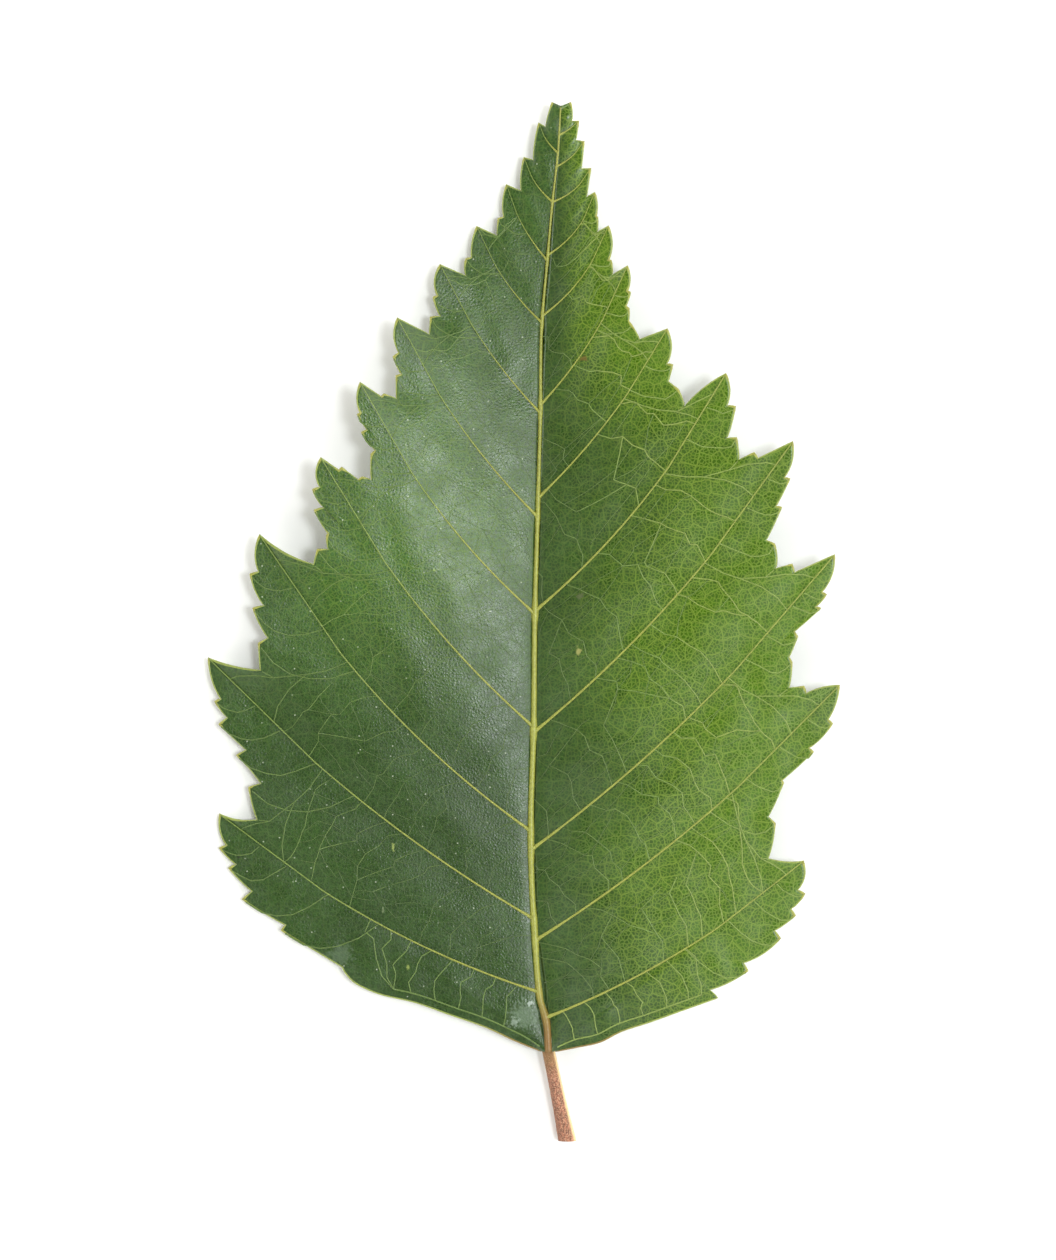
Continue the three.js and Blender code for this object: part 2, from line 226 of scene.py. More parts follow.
RIGHT_SIDE = SideSizes(
    outward=1,
    arch=-0.15,
    pillow=0.2,
    shoulder=((0.5, 0), (2.0, 0.3), (3.8, 0.7), (5.4, 1.5), (7.5, 2.2), (9.7, 3.0), (12.5, 4.0)),
    runs=(
        VeinRun(2.5, 0.045, 1.6, (
            (11.9, 4.6, 14.7, 6.0, 0.15), (14.4, 6.6, 17.1, 8.4, 0.24), (16.7, 9.0, 18.2, 10.1, 0.07),
            (17.9, 10.6, 18.9, 11.7, 0.1), (18.4, 12.0, 18.8, 14.1, 0.32))),
        VeinRun(8.2, 0.035, 2.2, (
            (16.2, 14.3, 16.7, 16.9, 0.11, 0.15), (16.2, 17.4, 17.3, 19.9, 0.07),
            (17.2, 20.1, 19.5, 22.2, 0.04), (19.2, 22.5, 20.9, 24.3, 0.15), (20.6, 24.6, 21.4, 27.1, 0.18))),
        VeinRun(14.9, 0.035, 2.8, (
            (19.0, 26.5, 18.8, 27.0, 0, -0.15), (17.7, 26.9, 17.9, 28.8, 0.07),
            (17.7, 29.2, 18.3, 30.7, 0.04), (18.1, 31.1, 20.0, 32.8, 0.02),
            (19.6, 32.9, 20.4, 33.8, 0.07), (20.1, 34.0, 21.0, 36.7, 0.3))),
        VeinRun(23.6, 0.04, 3.1, (
            (18.1, 35.4, 17.9, 36.0, 0), (16.7, 35.7, 16.6, 37.5, 0.15), (16.0, 37.8, 17.1, 40.2, 0.04),
            (16.7, 40.3, 17.7, 42.3, 0.04), (17.3, 42.4, 17.9, 45.0, 0.3))),
        VeinRun(32.6, 0.05, 3.1, (
            (15.4, 43.8, 15.1, 44.2, 0), (14.0, 43.7, 13.8, 45.3, 0.04), (13.1, 45.3, 13.7, 47.6, 0.07),
            (13.1, 47.7, 13.0, 50.0, 0.26))),
        VeinRun(41.0, 0.04, 2.8, (
            (10.0, 47.6, 9.5, 48.9, 0.07, -0.2), (8.8, 49.5, 9.1, 50.7, 0.02), (8.7, 50.8, 8.7, 53.3, 0.33))),
        VeinRun(47.9, 0.05, 2.1, (
            (6.7, 52.6, 6.1, 53.7, 0.04), (5.9, 54.0, 5.9, 54.9, 0.04), (5.7, 55.1, 6.0, 56.1, 0.04),
            (5.8, 56.2, 5.8, 58.0, 0.21))),
        VeinRun(54.5, 0.08, 1.6, ((4.7, 57.4, 4.6, 58.5, 0.06), (4.4, 58.5, 4.4, 61.0, 0.3))),
        VeinRun(59.0, 0.1, 1.4, ((3.6, 60.6, 3.6, 61.7, 0.04), (3.5, 61.8, 3.4, 63.5, 0.15))),
        VeinRun(62.9, 0.1, 1.3, ((2.8, 63.2, 3.1, 65.3, 0),)),
        VeinRun(65.5, 0.08, 1.3, ((2.4, 65.3, 2.6, 67.3, 0.02),)),
        VeinRun(67.8, 0.05, 1.35, ((2.0, 67.4, 2.2, 68.8, 0.02),)),
        VeinRun(BLADE_LENGTH, 0, 1.35, ((1.7, 68.8, 1.6, 70.2, 0.09),)),
    ),
)

LEFT_SIDE = SideSizes(
    outward=-1,
    arch=0.05,
    pillow=0.11,
    shoulder=(
        (-0.5, 0), (-2.5, 0.8), (-4.7, 1.8), (-7.3, 2.7), (-9.9, 3.6), (-12.5, 4.2), (-14.3, 5.0),
        (-15.1, 5.8),
    ),
    runs=(
        VeinRun(4.4, 0.05, 0.08, (
            (-15.3, 6.2, -19.8, 8.9, 0), (-19.5, 9.3, -22.7, 11.2, 0.06), (-22.0, 11.8, -23.7, 13.5, 0.07),
            (-23.2, 13.8, -24.4, 15.0, 0.07), (-23.9, 15.2, -24.4, 17.5, 0.26))),
        VeinRun(9.8, 0.038, 0.6, (
            (-21.6, 17.1, -22.2, 19.5, 0.07, 0.22), (-21.3, 19.8, -23.1, 21.9, -0.07),
            (-22.4, 22.3, -24.4, 24.2, 0.02), (-23.8, 24.7, -24.7, 25.9, 0.06),
            (-24.3, 26.1, -25.2, 29.1, 0.22))),
        VeinRun(16.3, 0.055, 1.9, (
            (-21.3, 28.2, -21.4, 30.2, 0.02, 0.16), (-20.7, 30.6, -21.8, 32.8, 0.11),
            (-21.0, 33.0, -22.0, 35.3, 0.16), (-21.4, 35.5, -21.3, 38.2, 0.3))),
        VeinRun(24.0, 0.046, 3.3, (
            (-17.3, 36.0, -17.0, 37.1, 0, 0.26), (-16.2, 37.1, -16.3, 38.1, 0.04),
            (-16.2, 38.3, -17.2, 40.0, 0.06), (-16.5, 40.2, -17.3, 41.5, 0.11),
            (-16.8, 41.7, -16.7, 43.8, 0.33))),
        VeinRun(32.4, 0.05, 3.7, (
            (-15.4, 42.9, -15.2, 43.1, 0), (-14.0, 42.2, -13.7, 42.4, 0), (-13.0, 42.2, -13.0, 44.1, 0.06),
            (-12.7, 44.4, -13.7, 45.7, 0.06), (-13.3, 45.9, -14.0, 47.0, 0.04),
            (-13.8, 47.1, -13.8, 49.3, 0.25))),
        VeinRun(39.6, 0.045, 2.8, (
            (-12.3, 48.3, -12.1, 48.5, 0), (-11.2, 48.2, -11.2, 49.9, 0), (-10.8, 50.0, -11.4, 51.3, 0.06),
            (-11.0, 51.6, -11.1, 54.1, 0.33))),
        VeinRun(47.3, 0.045, 1.2, (
            (-8.8, 53.0, -8.7, 54.3, 0), (-8.0, 54.4, -8.5, 55.8, 0.06), (-8.2, 55.9, -8.0, 58.2, 0.33))),
        VeinRun(54.0, 0.06, 0.5, ((-6.1, 57.4, -6.1, 58.7, 0.11), (-5.7, 58.8, -5.3, 61.1, 0.15))),
        VeinRun(58.6, 0.06, 0.45, ((-3.8, 60.4, -3.7, 61.7, 0.02), (-3.3, 61.8, -3.1, 64.2, 0.18))),
        VeinRun(62.9, 0.08, 0.65, ((-2.0, 63.7, -1.8, 66.2, 0.13),)),
        VeinRun(66.5, 0.08, 1.0, ((-1.1, 66.0, -0.7, 68.7, 0.1),)),
        VeinRun(BLADE_LENGTH, 0, 1.35, ((-0.2, 68.4, 0.3, 70.2, 0.06),)),
    ),
)


@dataclass(frozen=True)
class Midrib:
    """The midrib's course and the heights of its sole and of the blade beside it."""

    course: tuple[tuple[float, float], ...] = (
        (0, 0), (-0.2, 2.4), (-0.6, 3.8), (-0.8, 5.5), (-1.0, 8.6), (-1.2, 11.6), (-1.3, 16.4), (-1.1, 23.8),
        (-1.0, 32.7), (-0.8, 39.7), (-0.6, 47.3), (-0.5, 53.7), (-0.1, 58.4), (0.3, 62.9), (0.7, 66.5),
        (0.9, BLADE_LENGTH),
    )
    depth_at_foot: float = 0.6
    depth_at_tip: float = 0.12
    rest_from: float = 14.0
    rest_to: float = 50.0
    lift_at_foot: float = 0.5
    lift_at_tip: float = 1.2
    sole: float = 0.35
    root: float = 0.8

    def point(self, y: Array) -> Array:
        """Centre line, a cubic through the course whose slopes span the neighbouring points.

        Args:
            y: Places along the leaf.

        Returns:
            The line's places in plan.
        """
        x_knots, y_knots = np.array(self.course, float).T
        slopes = np.gradient(x_knots, y_knots)
        y = np.asarray(y, float)
        index = np.clip(np.searchsorted(y_knots, y) - 1, 0, len(y_knots) - 2)
        step = y_knots[index + 1] - y_knots[index]
        t = (y - y_knots[index]) / step
        rise = x_knots[index + 1] - x_knots[index]
        bend = slopes[index] * step - rise
        return_bend = rise - slopes[index + 1] * step
        x = x_knots[index] + rise * t + t * (1 - t) * ((1 - t) * bend + t * return_bend)
        return np.stack([x, y], -1)

    def sole_height(self, y: Array) -> Array:
        """Height of the underside of the midrib, flat between the two rests and lifting to both ends.

        Args:
            y: Places along the midrib.

        Returns:
            Heights above the table.
        """
        to_foot = np.maximum(0, 1 - y / self.rest_from)
        to_tip = np.maximum(0, (y - self.rest_to) / (BLADE_LENGTH - self.rest_to))
        return self.lift_at_foot * to_foot**2 + self.lift_at_tip * to_tip**2

    def blade_height(self, y: Array) -> Array:
        """Height of the blade's underside beside the midrib."""
        return self.sole_height(y) + lerp(self.depth_at_foot, self.depth_at_tip, y / BLADE_LENGTH)


@dataclass(frozen=True)
class BladeSizes:
    """Sizes of the blade that the two sides share, in millimetres."""

    midrib: Midrib = Midrib()
    thickness: float = 0.6
    pillow_none_at: float = -10.0
    pillow_full_at: float = 24.0
    vein_depth: float = 0.3
    vein_half_width: float = 0.3
    reach: float = 0.65
    knee: float = 0.86
    lag: float = 1.3
    least_climb: float = 0.0035
    corner_spacing: float = 0.21
    thinning_above: float = 0.2
    thinning_below: float = 0.12
    least_thickness: float = 0.05
    small_panel: float = 10.0
    arch_power: float = 0.8
    square_width: float = 0.7
    groove_depth: float = 0.1
    groove_width: float = 0.55
    groove_fades: tuple[float, float] = (35.0, 55.0)
    groove_at_tip: float = 0.3
    valley_depth: float = 0.012
    valley_width: float = 0.6
    ripple: float = 0.035
    ripple_length: float = 3.2
    ripple_margin: float = 2.0
    ripple_seed: int = 5
    relief_pitch: float = 0.12
    relief_start: tuple[float, float] = (-26.0, -1.0)
    relief_cells: tuple[int, int] = (610, 430)
    relief_samples: tuple[int, int] = (260, 300)
    relief_growth: int = 10


class Panel:
    """The blade between two side veins: a surface over share, across it, and reach, out to the margin."""

    def __init__(self, sizes: BladeSizes, side: SideSizes, index: int, start: Array) -> None:
        """Lays out one panel.

        Args:
            sizes: Sizes of the whole blade.
            side: The side that the panel belongs to.
            index: Number of the vein above the panel, from the stalk.
            start: Place of the margin where the panel begins.
        """
        self.sizes, self.side, self.index = sizes, side, index
        run = side.runs[index]
        self.above = self.vein_course(run)
        if index:
            below = side.runs[index - 1]
            self.below = self.vein_course(below)
            self.feet, self.lifts = (below.foot, run.foot), (below.lift, run.lift)
        else:
            edge = np.array(side.shoulder[0], float)
            self.below = np.array([edge * 0, edge / 2, edge])
            self.feet, self.lifts = (0.0, run.foot), (float(sizes.midrib.blade_height(0.0)), run.lift)
        self.tip_places: list[int] = []
        self.margin = self.margin_points(run, start)
        self.shares = self.spread_margin()

    def vein_course(self, run: VeinRun) -> Array:
        """Controls of a run's vein, from the midrib to its own tooth, bowed towards the stalk.

        Args:
            run: The vein.

        Returns:
            The start, control and end point, as rows.
        """
        foot = self.sizes.midrib.point(run.foot)
        tip = np.array(run.teeth[-1][2:4], float)
        return swollen_curve(foot, tip, run.sag * np.hypot(*(tip - foot)), self.side.outward)

    def margin_points(self, run: VeinRun, start: Array) -> Array:
        """Margin of the panel: the shoulder if it has one, then two flanks to each tooth.

        Args:
            run: The vein above with its teeth.
            start: Place where the margin begins.

        Returns:
            Evenly spaced points as rows. The rows of the teeth's tips are kept in tip_places.
        """
        stretches = [np.array([start], float)]
        if self.index == 0:
            knots = np.array(self.side.shoulder, float)
            length = np.hypot(*np.diff(knots, axis=0).T).sum()
            stretches = [catmull_rom(knots, int(length / self.sizes.corner_spacing))]
        for notch_x, notch_y, tip_x, tip_y, swell, *dip in run.teeth:
            notch, tip = np.array([notch_x, notch_y]), np.array([tip_x, tip_y])
            for end, bow in ((notch, -(dip[0] if dip else 0.0)), (tip, swell)):
                curve = swollen_curve(stretches[-1][-1], end, bow, self.side.outward)
                count = max(2, round(np.hypot(*(end - curve[0])) / self.sizes.corner_spacing))
                stretches.append(bezier(curve, np.arange(1, count + 1) / count))
            self.tip_places.append(sum(len(stretch) for stretch in stretches) - 1)
        return np.concatenate(stretches)

    def spread_margin(self) -> Array:
        """Share of the way across the panel for each point of its margin.

        The share is the point's level between the veins, raised to the lag. Points before the sinus climb
        evenly to it, and those beyond the knee crowd beside the vein above. It never falls.

        Returns:
            Shares from 0 to 1, one for each point.
        """
        sizes = self.sizes
        start = bezier(self.below, sizes.reach)
        across = bezier(self.above, sizes.reach) - start
        offset = self.margin - start
        square = across @ across
        level = offset @ across / square
        depth = np.abs(offset[:, 0] * across[1] - offset[:, 1] * across[0]) / square
        steps = np.hypot(*np.diff(self.margin, axis=0).T)
        travelled = np.concatenate([[0.0], np.cumsum(steps)])
        sinus = int(np.argmin(depth + level / 2))
        self.sinus = sinus
        knee_level = sizes.knee ** (1 / sizes.lag)
        beyond_knee = lerp(sizes.knee, 1.0, (level - knee_level) / (level[-1] - knee_level))
        target = np.where(level < knee_level, np.maximum(level, 0) ** sizes.lag, beyond_knee)
        climb = max(0.0, level[sinus]) ** sizes.lag * travelled / max(travelled[sinus], 1e-6)
        target = np.where(travelled < travelled[sinus], climb, target)
        least = sizes.least_climb * travelled
        share = least + np.maximum.accumulate(target - least)
        return (share - share[0]) / (share[-1] - share[0])

    def place(self, share: Array, reach: Array) -> Array:
        """Place in plan, between the veins up to the panel's reach and then straight to the margin.

        Args:
            share: Shares across the panel.
            reach: Shares of the way from the midrib to the margin.

        Returns:
            Places with a last axis for x and y.
        """
        share, reach = np.broadcast_arrays(np.asarray(share, float), np.asarray(reach, float))
        inner = np.minimum(reach, self.sizes.reach)
        core = lerp(bezier(self.below, inner), bezier(self.above, inner), share[..., None])
        return lerp(core, self.margin_at(share), self.outer_share(reach)[..., None])

    def outer_share(self, reach: Array) -> Array:
        """Share of the way from the panel's reach to the margin, 0 inside it."""
        return np.maximum(0, (reach - self.sizes.reach) / (1 - self.sizes.reach))

    def margin_at(self, share: Array) -> Array:
        """Place of the margin at a share across the panel."""
        return np.stack([np.interp(share, self.shares, self.margin[:, axis]) for axis in (0, 1)], -1)

    def foot_height(self, share: Array) -> Array:
        """Place along the midrib where the line of that share leaves it."""
        return lerp(self.feet[0], self.feet[1], share)

    def length(self, share: Array) -> Array:
        """Distance from the midrib to the margin along the line of that share."""
        return span(self.margin_at(share) - self.sizes.midrib.point(self.foot_height(share)))

    def way_out(self, share: Array, reach: Array) -> tuple[Array, Array]:
        """Way out from the midrib, and the whole way, which passes evenly from vein to vein.

        Args:
            share: Shares across the panel.
            reach: Shares of the way from the midrib to the margin.

        Returns:
            The way so far and the whole way, in millimetres.
        """
        whole = lerp(self.length(0.0), self.length(1.0), share)
        beyond = span(self.margin_at(share) - self.place(share, self.sizes.reach))
        return np.minimum(reach, self.sizes.reach) * whole + self.outer_share(reach) * beyond, whole

    def heights(self, share: Array, reach: Array) -> tuple[Array, Array]:
        """Heights of the upper and lower face.

        The underside climbs from the midrib to the lift of the margin, with the side's arch over it and a
        pillow between the veins that is flatter towards the stalk. The climb is counted in ways that pass
        evenly from vein to vein, so a notch cuts the slope without a crease. The blade thins to the margin.
        The upper face has a groove along the midrib, a valley along each vein and a soft ripple. The lower
        face has the midrib and the veins as ridges.

        Args:
            share: Shares across the panel.
            reach: Shares of the way from the midrib to the margin.

        Returns:
            Heights of the upper and of the lower face, in millimetres.
        """
        sizes, rib = self.sizes, self.sizes.midrib
        share, reach = np.broadcast_arrays(np.asarray(share, float), np.asarray(reach, float))
        foot, length = self.foot_height(share), self.length(share)
        rim = lerp(self.lifts[0], self.lifts[1], share)
        from_midrib, whole = self.way_out(share, reach)
        climb = np.clip(from_midrib / whole, 0, 1)
        small = np.minimum(1, whole / sizes.small_panel)
        arch = self.side.arch * np.sin(math.pi * climb**sizes.arch_power) * small
        swelling = np.sin(math.pi * climb) * smoothstep(sizes.pillow_none_at, sizes.pillow_full_at, foot)
        pillow = self.side.pillow * np.sin(math.pi * share) ** 2 * swelling
        base = lerp(rib.blade_height(foot), rim, climb) + arch + pillow
        width = span(bezier(self.above, reach) - bezier(self.below, reach)) * sizes.square_width
        from_vein = np.minimum(share, 1 - share) * width
        place = self.place(share, reach)
        to_margin = (1 - reach) * length
        fade = np.minimum(1, from_midrib / sizes.ripple_margin)
        fade = fade * np.minimum(1, to_margin / sizes.ripple_margin)
        ripple = waves(place[..., 0], place[..., 1], sizes.ripple_length, sizes.ripple_seed)
        shallow = lerp(1.0, sizes.groove_at_tip, smoothstep(*sizes.groove_fades, foot))
        groove = sizes.groove_depth * shallow * small
        valley = np.exp(-((from_vein / sizes.valley_width) ** 2)) * (1 - climb) * small
        upper = base + sizes.thickness - sizes.thinning_above * climb
        upper = upper - groove * np.exp(-((from_midrib / sizes.groove_width) ** 2))
        upper = upper - sizes.valley_depth * valley + sizes.ripple * ripple * fade
        ridge = sizes.vein_depth * (1 - climb) * np.exp(-((from_vein / sizes.vein_half_width) ** 2))
        lower = base + sizes.thinning_below * climb - ridge * (self.index + share > 0.5)
        to_blade = smoothstep(rib.sole, rib.root, from_midrib)
        lower = lerp(rib.sole_height(foot), lower, to_blade)
        return upper, np.minimum(upper - sizes.least_thickness, lower)


# Painted light: the blade's and the veins' colour is blended by these shares, so the light through the blade
# and the brighter patch on the left half are painted into the colour.
@dataclass(frozen=True)
class Daylight:
    """How much light comes through the blade, from 0 in deep shade to 1, by the place in plan.

    On the right half it grows outwards and to the tip. The left half is in shade, with a little more light
    at its outer margin and tip and a brighter patch in its upper half. The ranges are in millimetres.
    """

    shade: float = 0.06
    across_right: tuple[float, float] = (-2.0, 18.0)
    across_left: tuple[float, float] = (12.0, 24.0)
    across_tip: tuple[float, float] = (-0.5, 2.5)
    tip: tuple[float, float] = (43.0, 60.0)
    tip_gain_right: float = 0.85
    tip_gain_left: float = 0.25
    outer_gain_left: float = 0.1
    patch_centre: tuple[float, float] = (-11.0, 39.0)
    patch_size: tuple[float, float] = (10.0, 11.0)
    patch_gain: float = 0.7
    wander: float = 1.6
    wander_length: float = 16.0
    wander_seed: int = 3
    seam: float = 0.15

    def share(self, place: Array, midrib: Midrib) -> Array:
        """Share of light at places in plan.

        Args:
            place: Places in plan.
            midrib: The midrib, which parts the halves.

        Returns:
            Shares from 0 to 1.
        """
        x, y = place[..., 0], place[..., 1]
        from_midrib = x - midrib.point(np.clip(y, 0, BLADE_LENGTH))[..., 0]
        away = from_midrib + self.wander * waves(x, y, self.wander_length, self.wander_seed)
        tip = smoothstep(*self.tip, y)
        right = smoothstep(*self.across_right, away)
        right = np.clip(right + self.tip_gain_right * tip * smoothstep(*self.across_tip, away), 0, 1)
        patch_x = (x - self.patch_centre[0]) / self.patch_size[0]
        patch_y = (y - self.patch_centre[1]) / self.patch_size[1]
        left = self.shade + self.outer_gain_left * smoothstep(*self.across_left, -away)
        left = left + self.tip_gain_left * tip + self.patch_gain * np.exp(-(patch_x**2) - patch_y**2)
        return lerp(left, np.maximum(right, self.shade), smoothstep(-self.seam, self.seam, from_midrib))


class Blade:
    """The leaf's blade: its two sides of panels, and the relief of its upper face over the plan."""

    def __init__(self, sizes: BladeSizes) -> None:
        """Lays out the panels and finds where the blade stands in the frame.

        Args:
            sizes: Sizes of the blade.
        """
        self.sizes = sizes
        self.sides = {side: self.side_panels(side) for side in (RIGHT_SIDE, LEFT_SIDE)}
        low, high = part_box("leaf_blade")
        widest = max(panel.margin[:, 0].max() for panel in self.sides[RIGHT_SIDE])
        self.offset = np.array([high.x / MM - widest, low.y / MM, 0.0])
        self.daylight = Daylight()
        self.relief = self.relief_grid()

    def side_panels(self, side: SideSizes) -> list[Panel]:
        """Lays out the panels of one side.

        Args:
            side: Sizes of the side.

        Returns:
            Its panels, from the stalk to the tip.
        """
        panels: list[Panel] = []
        start = np.array(side.shoulder[0], float)
        for index in range(len(side.runs)):
            panels.append(Panel(self.sizes, side, index, start))
            start = panels[-1].margin[-1]
        return panels

    def relief_grid(self) -> Array:
        """Heights of the upper face on a square grid over the plan, means of fine samples of the panels.

        Returns:
            Heights by row and column. Empty cells take the mean of their filled neighbours, many times over.
        """
        sizes = self.sizes
        total, weight = np.zeros(sizes.relief_cells), np.zeros(sizes.relief_cells)
        share, reach = np.meshgrid(*(np.linspace(0, 1, count) for count in sizes.relief_samples))
        for panel in (panel for panels in self.sides.values() for panel in panels):
            cell = np.rint(self.relief_cell(panel.place(share, reach))).astype(int)
            upper, _ = panel.heights(share, reach)
            np.add.at(total, (cell[..., 1], cell[..., 0]), upper)
            np.add.at(weight, (cell[..., 1], cell[..., 0]), 1.0)
        for _ in range(sizes.relief_growth):
            grown = np.zeros_like(total)
            count = np.zeros_like(weight)
            mean = np.where(weight > 0, total / np.maximum(weight, 1), 0)
            for shift in ((0, 1), (0, -1), (1, 0), (-1, 0)):
                grown += np.roll(mean, shift, (0, 1))
                count += np.roll(weight > 0, shift, (0, 1))
            empty = (weight == 0) & (count > 0)
            total = np.where(empty, grown / np.maximum(count, 1), np.where(weight > 0, mean, 0))
            weight = np.where(empty | (weight > 0), 1.0, 0.0)
        return total

    def relief_cell(self, place: Array) -> Array:
        """Column and row of the relief at places in plan, not rounded."""
        return (place - np.array(self.sizes.relief_start)) / self.sizes.relief_pitch

    def height(self, place: Array) -> Array:
        """Height of the upper face, straight between the four nearest points of the relief.

        Args:
            place: Places in plan.

        Returns:
            Heights in millimetres.
        """
        cell = self.relief_cell(place)
        low = np.floor(cell).astype(int)
        part = cell - low
        x, y = low[..., 0], low[..., 1]
        lower = lerp(self.relief[y, x], self.relief[y, x + 1], part[..., 0])
        upper = lerp(self.relief[y + 1, x], self.relief[y + 1, x + 1], part[..., 0])
        return lerp(lower, upper, part[..., 1])

    def sun(self, place: Array) -> Array:
        """Share of light that comes through the blade at places in plan."""
        return self.daylight.share(place, self.sizes.midrib)

    def to_frame(self, points: Array) -> Array:
        """Points in metres in the frame, from millimetres from the foot of the blade."""
        return (points + self.offset) * MM


@dataclass
class MeshParts:
    """Vertices, faces and vertex values that a mesh is put together from."""

    points: list[Array] = field(default_factory=list)
    faces: list[Array] = field(default_factory=list)
    values: dict[str, list[Array]] = field(default_factory=dict)
    count: int = 0

    def add_points(self, points: Array, **values: Array | float) -> Array:
        """Adds vertices with their values.

        Args:
            points: Places, with a last axis for x, y and z.
            **values: A value for each vertex, or one for all, by the attribute's name.

        Returns:
            Numbers of the new vertices, with the leading axes of the points.
        """
        numbers = self.count + np.arange(points[..., 0].size).reshape(points.shape[:-1])
        self.points.append(points.reshape(-1, 3))
        for name, value in values.items():
            spread = np.broadcast_to(np.asarray(value, float), points.shape[:-1]).reshape(-1)
            self.values.setdefault(name, []).append(spread)
        self.count += points[..., 0].size
        return numbers

    def add_faces(self, corners: Array, flip: bool = False) -> None:
        """Adds faces given by their corners on the last axis, turned over if flip is set."""
        corners = corners.reshape(-1, corners.shape[-1])
        self.faces.append(corners[:, ::-1] if flip else corners)

    def add_grid(self, numbers: Array, flip: bool = False, closed: bool = False) -> None:
        """Adds four-cornered faces between the neighbours of grids on the last two axes.

        Args:
            numbers: Vertex numbers of one grid or of many.
            flip: Turns the faces over.
            closed: Joins the last column to the first.
        """
        if closed:
            numbers = np.concatenate([numbers, numbers[..., :1]], -1)
        corners = (numbers[..., :-1, :-1], numbers[..., 1:, :-1], numbers[..., 1:, 1:], numbers[..., :-1, 1:])
        self.add_faces(np.stack(corners, -1), flip)

    def build(self, name: str, blade: Blade, material: bpy.types.Material, slot: Slot) -> bpy.types.Object:
        """Makes the object, rides it on the leaf's body and gives it its finish.

        Args:
            name: Name of the piece.
            blade: The blade, which sets millimetres into the frame.
            material: Finish of the piece.
            slot: Slot of the record that the finish belongs to; not used.

        Returns:
            The object at the origin, with its place in its mesh.
        """
        mesh = bpy.data.meshes.new(name)
        points = blade.to_frame(np.concatenate(self.points))
        faces = [tuple(face) for block in self.faces for face in block.tolist()]
        mesh.from_pydata(points.tolist(), [], faces)
        for value, blocks in self.values.items():
            attribute = mesh.attributes.new(value, "FLOAT", "POINT")
            attribute.data.foreach_set("value", np.concatenate(blocks).astype(np.float32))
        mesh.polygons.foreach_set("use_smooth", np.ones(len(mesh.polygons), bool))
        mesh.materials.append(material)
        mesh.update()
        piece = bpy.data.objects.new(name, mesh)
        bpy.context.scene.collection.objects.link(piece)
        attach(piece, BODY)
        triangles = sum(len(face) - 2 for face in faces)
        LOG.info("%s: %d vertices, %d triangles", name, self.count, triangles)
        return piece


class Sheet:
    """A material's node tree with short ways to add and join nodes."""

    def __init__(self, name: str) -> None:
        """Starts a material with one Principled shader.

        Args:
            name: Name of the material.
        """
        self.material = bpy.data.materials.new(name)
        self.material.use_nodes = True
        self.tree = self.material.node_tree
        self.shader = next(node for node in self.tree.nodes if node.type == "BSDF_PRINCIPLED")

    def node(self, kind: str, inputs: dict | None = None, **settings: object) -> bpy.types.Node:
        """Adds a node.

        Args:
            kind: The node's type without its ShaderNode prefix.
            inputs: Values or sockets for its inputs, by name or number.
            **settings: Properties of the node.

        Returns:
            The new node.
        """
        made = self.tree.nodes.new("ShaderNode" + kind)
        for name, value in settings.items():
            setattr(made, name, value)
        for name, value in (inputs or {}).items():
            self.join(value, made.inputs[name])
        return made

    def join(self, value: object, socket: Socket) -> None:
        """Links a socket, or sets its value where a plain one is given.

        Args:
            value: A socket, a number, a direction or a colour.
            socket: The input that takes it.
        """
        if isinstance(value, Socket):
            self.tree.links.new(value, socket)
        elif isinstance(value, tuple) and len(value) == 3 and socket.type == "RGBA":
            socket.default_value = (*value, 1.0)
        else:
            socket.default_value = value

    def math(self, operation: str, first: object, second: object = 0.0) -> Socket:
        """Sum, product or other result of two numbers."""
        return self.node("Math", {0: first, 1: second}, operation=operation).outputs[0]

    def climb(self, value: object, low: float, high: float, start: float = 0.0, end: float = 1.0) -> Socket:
        """Smooth climb from start to end as a value goes from low to high."""
        inputs = {"Value": value, "From Min": low, "From Max": high, "To Min": start, "To Max": end}
        return self.node("MapRange", inputs, interpolation_type="SMOOTHSTEP").outputs["Result"]

    def blend(self, share: object, first: object, second: object) -> Socket:
        """Colour between two others."""
        inputs = {0: share, 6: first, 7: second}
        return self.node("Mix", inputs, data_type="RGBA").outputs[2]

    def shade(self, colour: object, value: object) -> Socket:
        """Colour made darker or lighter by a factor."""
        return self.node("HueSaturation", {"Color": colour, "Value": value}).outputs["Color"]

    def vector(self, operation: str, first: object, second: object) -> Socket:
        """Sum, product or other result of two directions."""
        return self.node("VectorMath", {0: first, 1: second}, operation=operation).outputs[0]

    def value(self, name: str) -> Socket:
        """The vertex value of that name."""
        return self.node("Attribute", attribute_name=name).outputs["Fac"]

    def millimetres(self) -> Socket:
        """Object coordinates in millimetres."""
        place = self.node("TexCoord").outputs["Object"]
        return self.node("Mapping", {"Vector": place, "Scale": (1 / MM,) * 3}).outputs["Vector"]

    def noise(self, place: object, scale: float, detail: float = 3.0) -> bpy.types.Node:
        """Cloudy noise of that many waves a millimetre."""
        return self.node("TexNoise", {"Vector": place, "Scale": scale, "Detail": detail})

    def cloud(self, place: object, scale: float, start: float, end: float, detail: float = 3.0) -> Socket:
        """Cloudy noise of that many waves a millimetre, spread smoothly from start to end."""
        return self.climb(self.noise(place, scale, detail).outputs["Fac"], 0.3, 0.7, start, end)

    def dress(
        self, colour: object, rough: object, height: object, strength: object, depth: float
    ) -> bpy.types.Material:
        """Gives the shader its colour, its roughness and its bumps.

        Args:
            colour: Base colour.
            rough: Roughness.
            height: Height of the bumps, of about 0 to 1.
            strength: How much the bumps show, from 0 to 1.
            depth: Depth of the bumps, in millimetres.

        Returns:
            The finished material.
        """
        bump = self.node("Bump", {"Height": height, "Strength": strength, "Distance": depth * MM})
        ends = {"Base Color": colour, "Roughness": rough, "Normal": bump.outputs["Normal"]}
        for name, value in ends.items():
            self.join(value, self.shader.inputs[name])
        return self.material


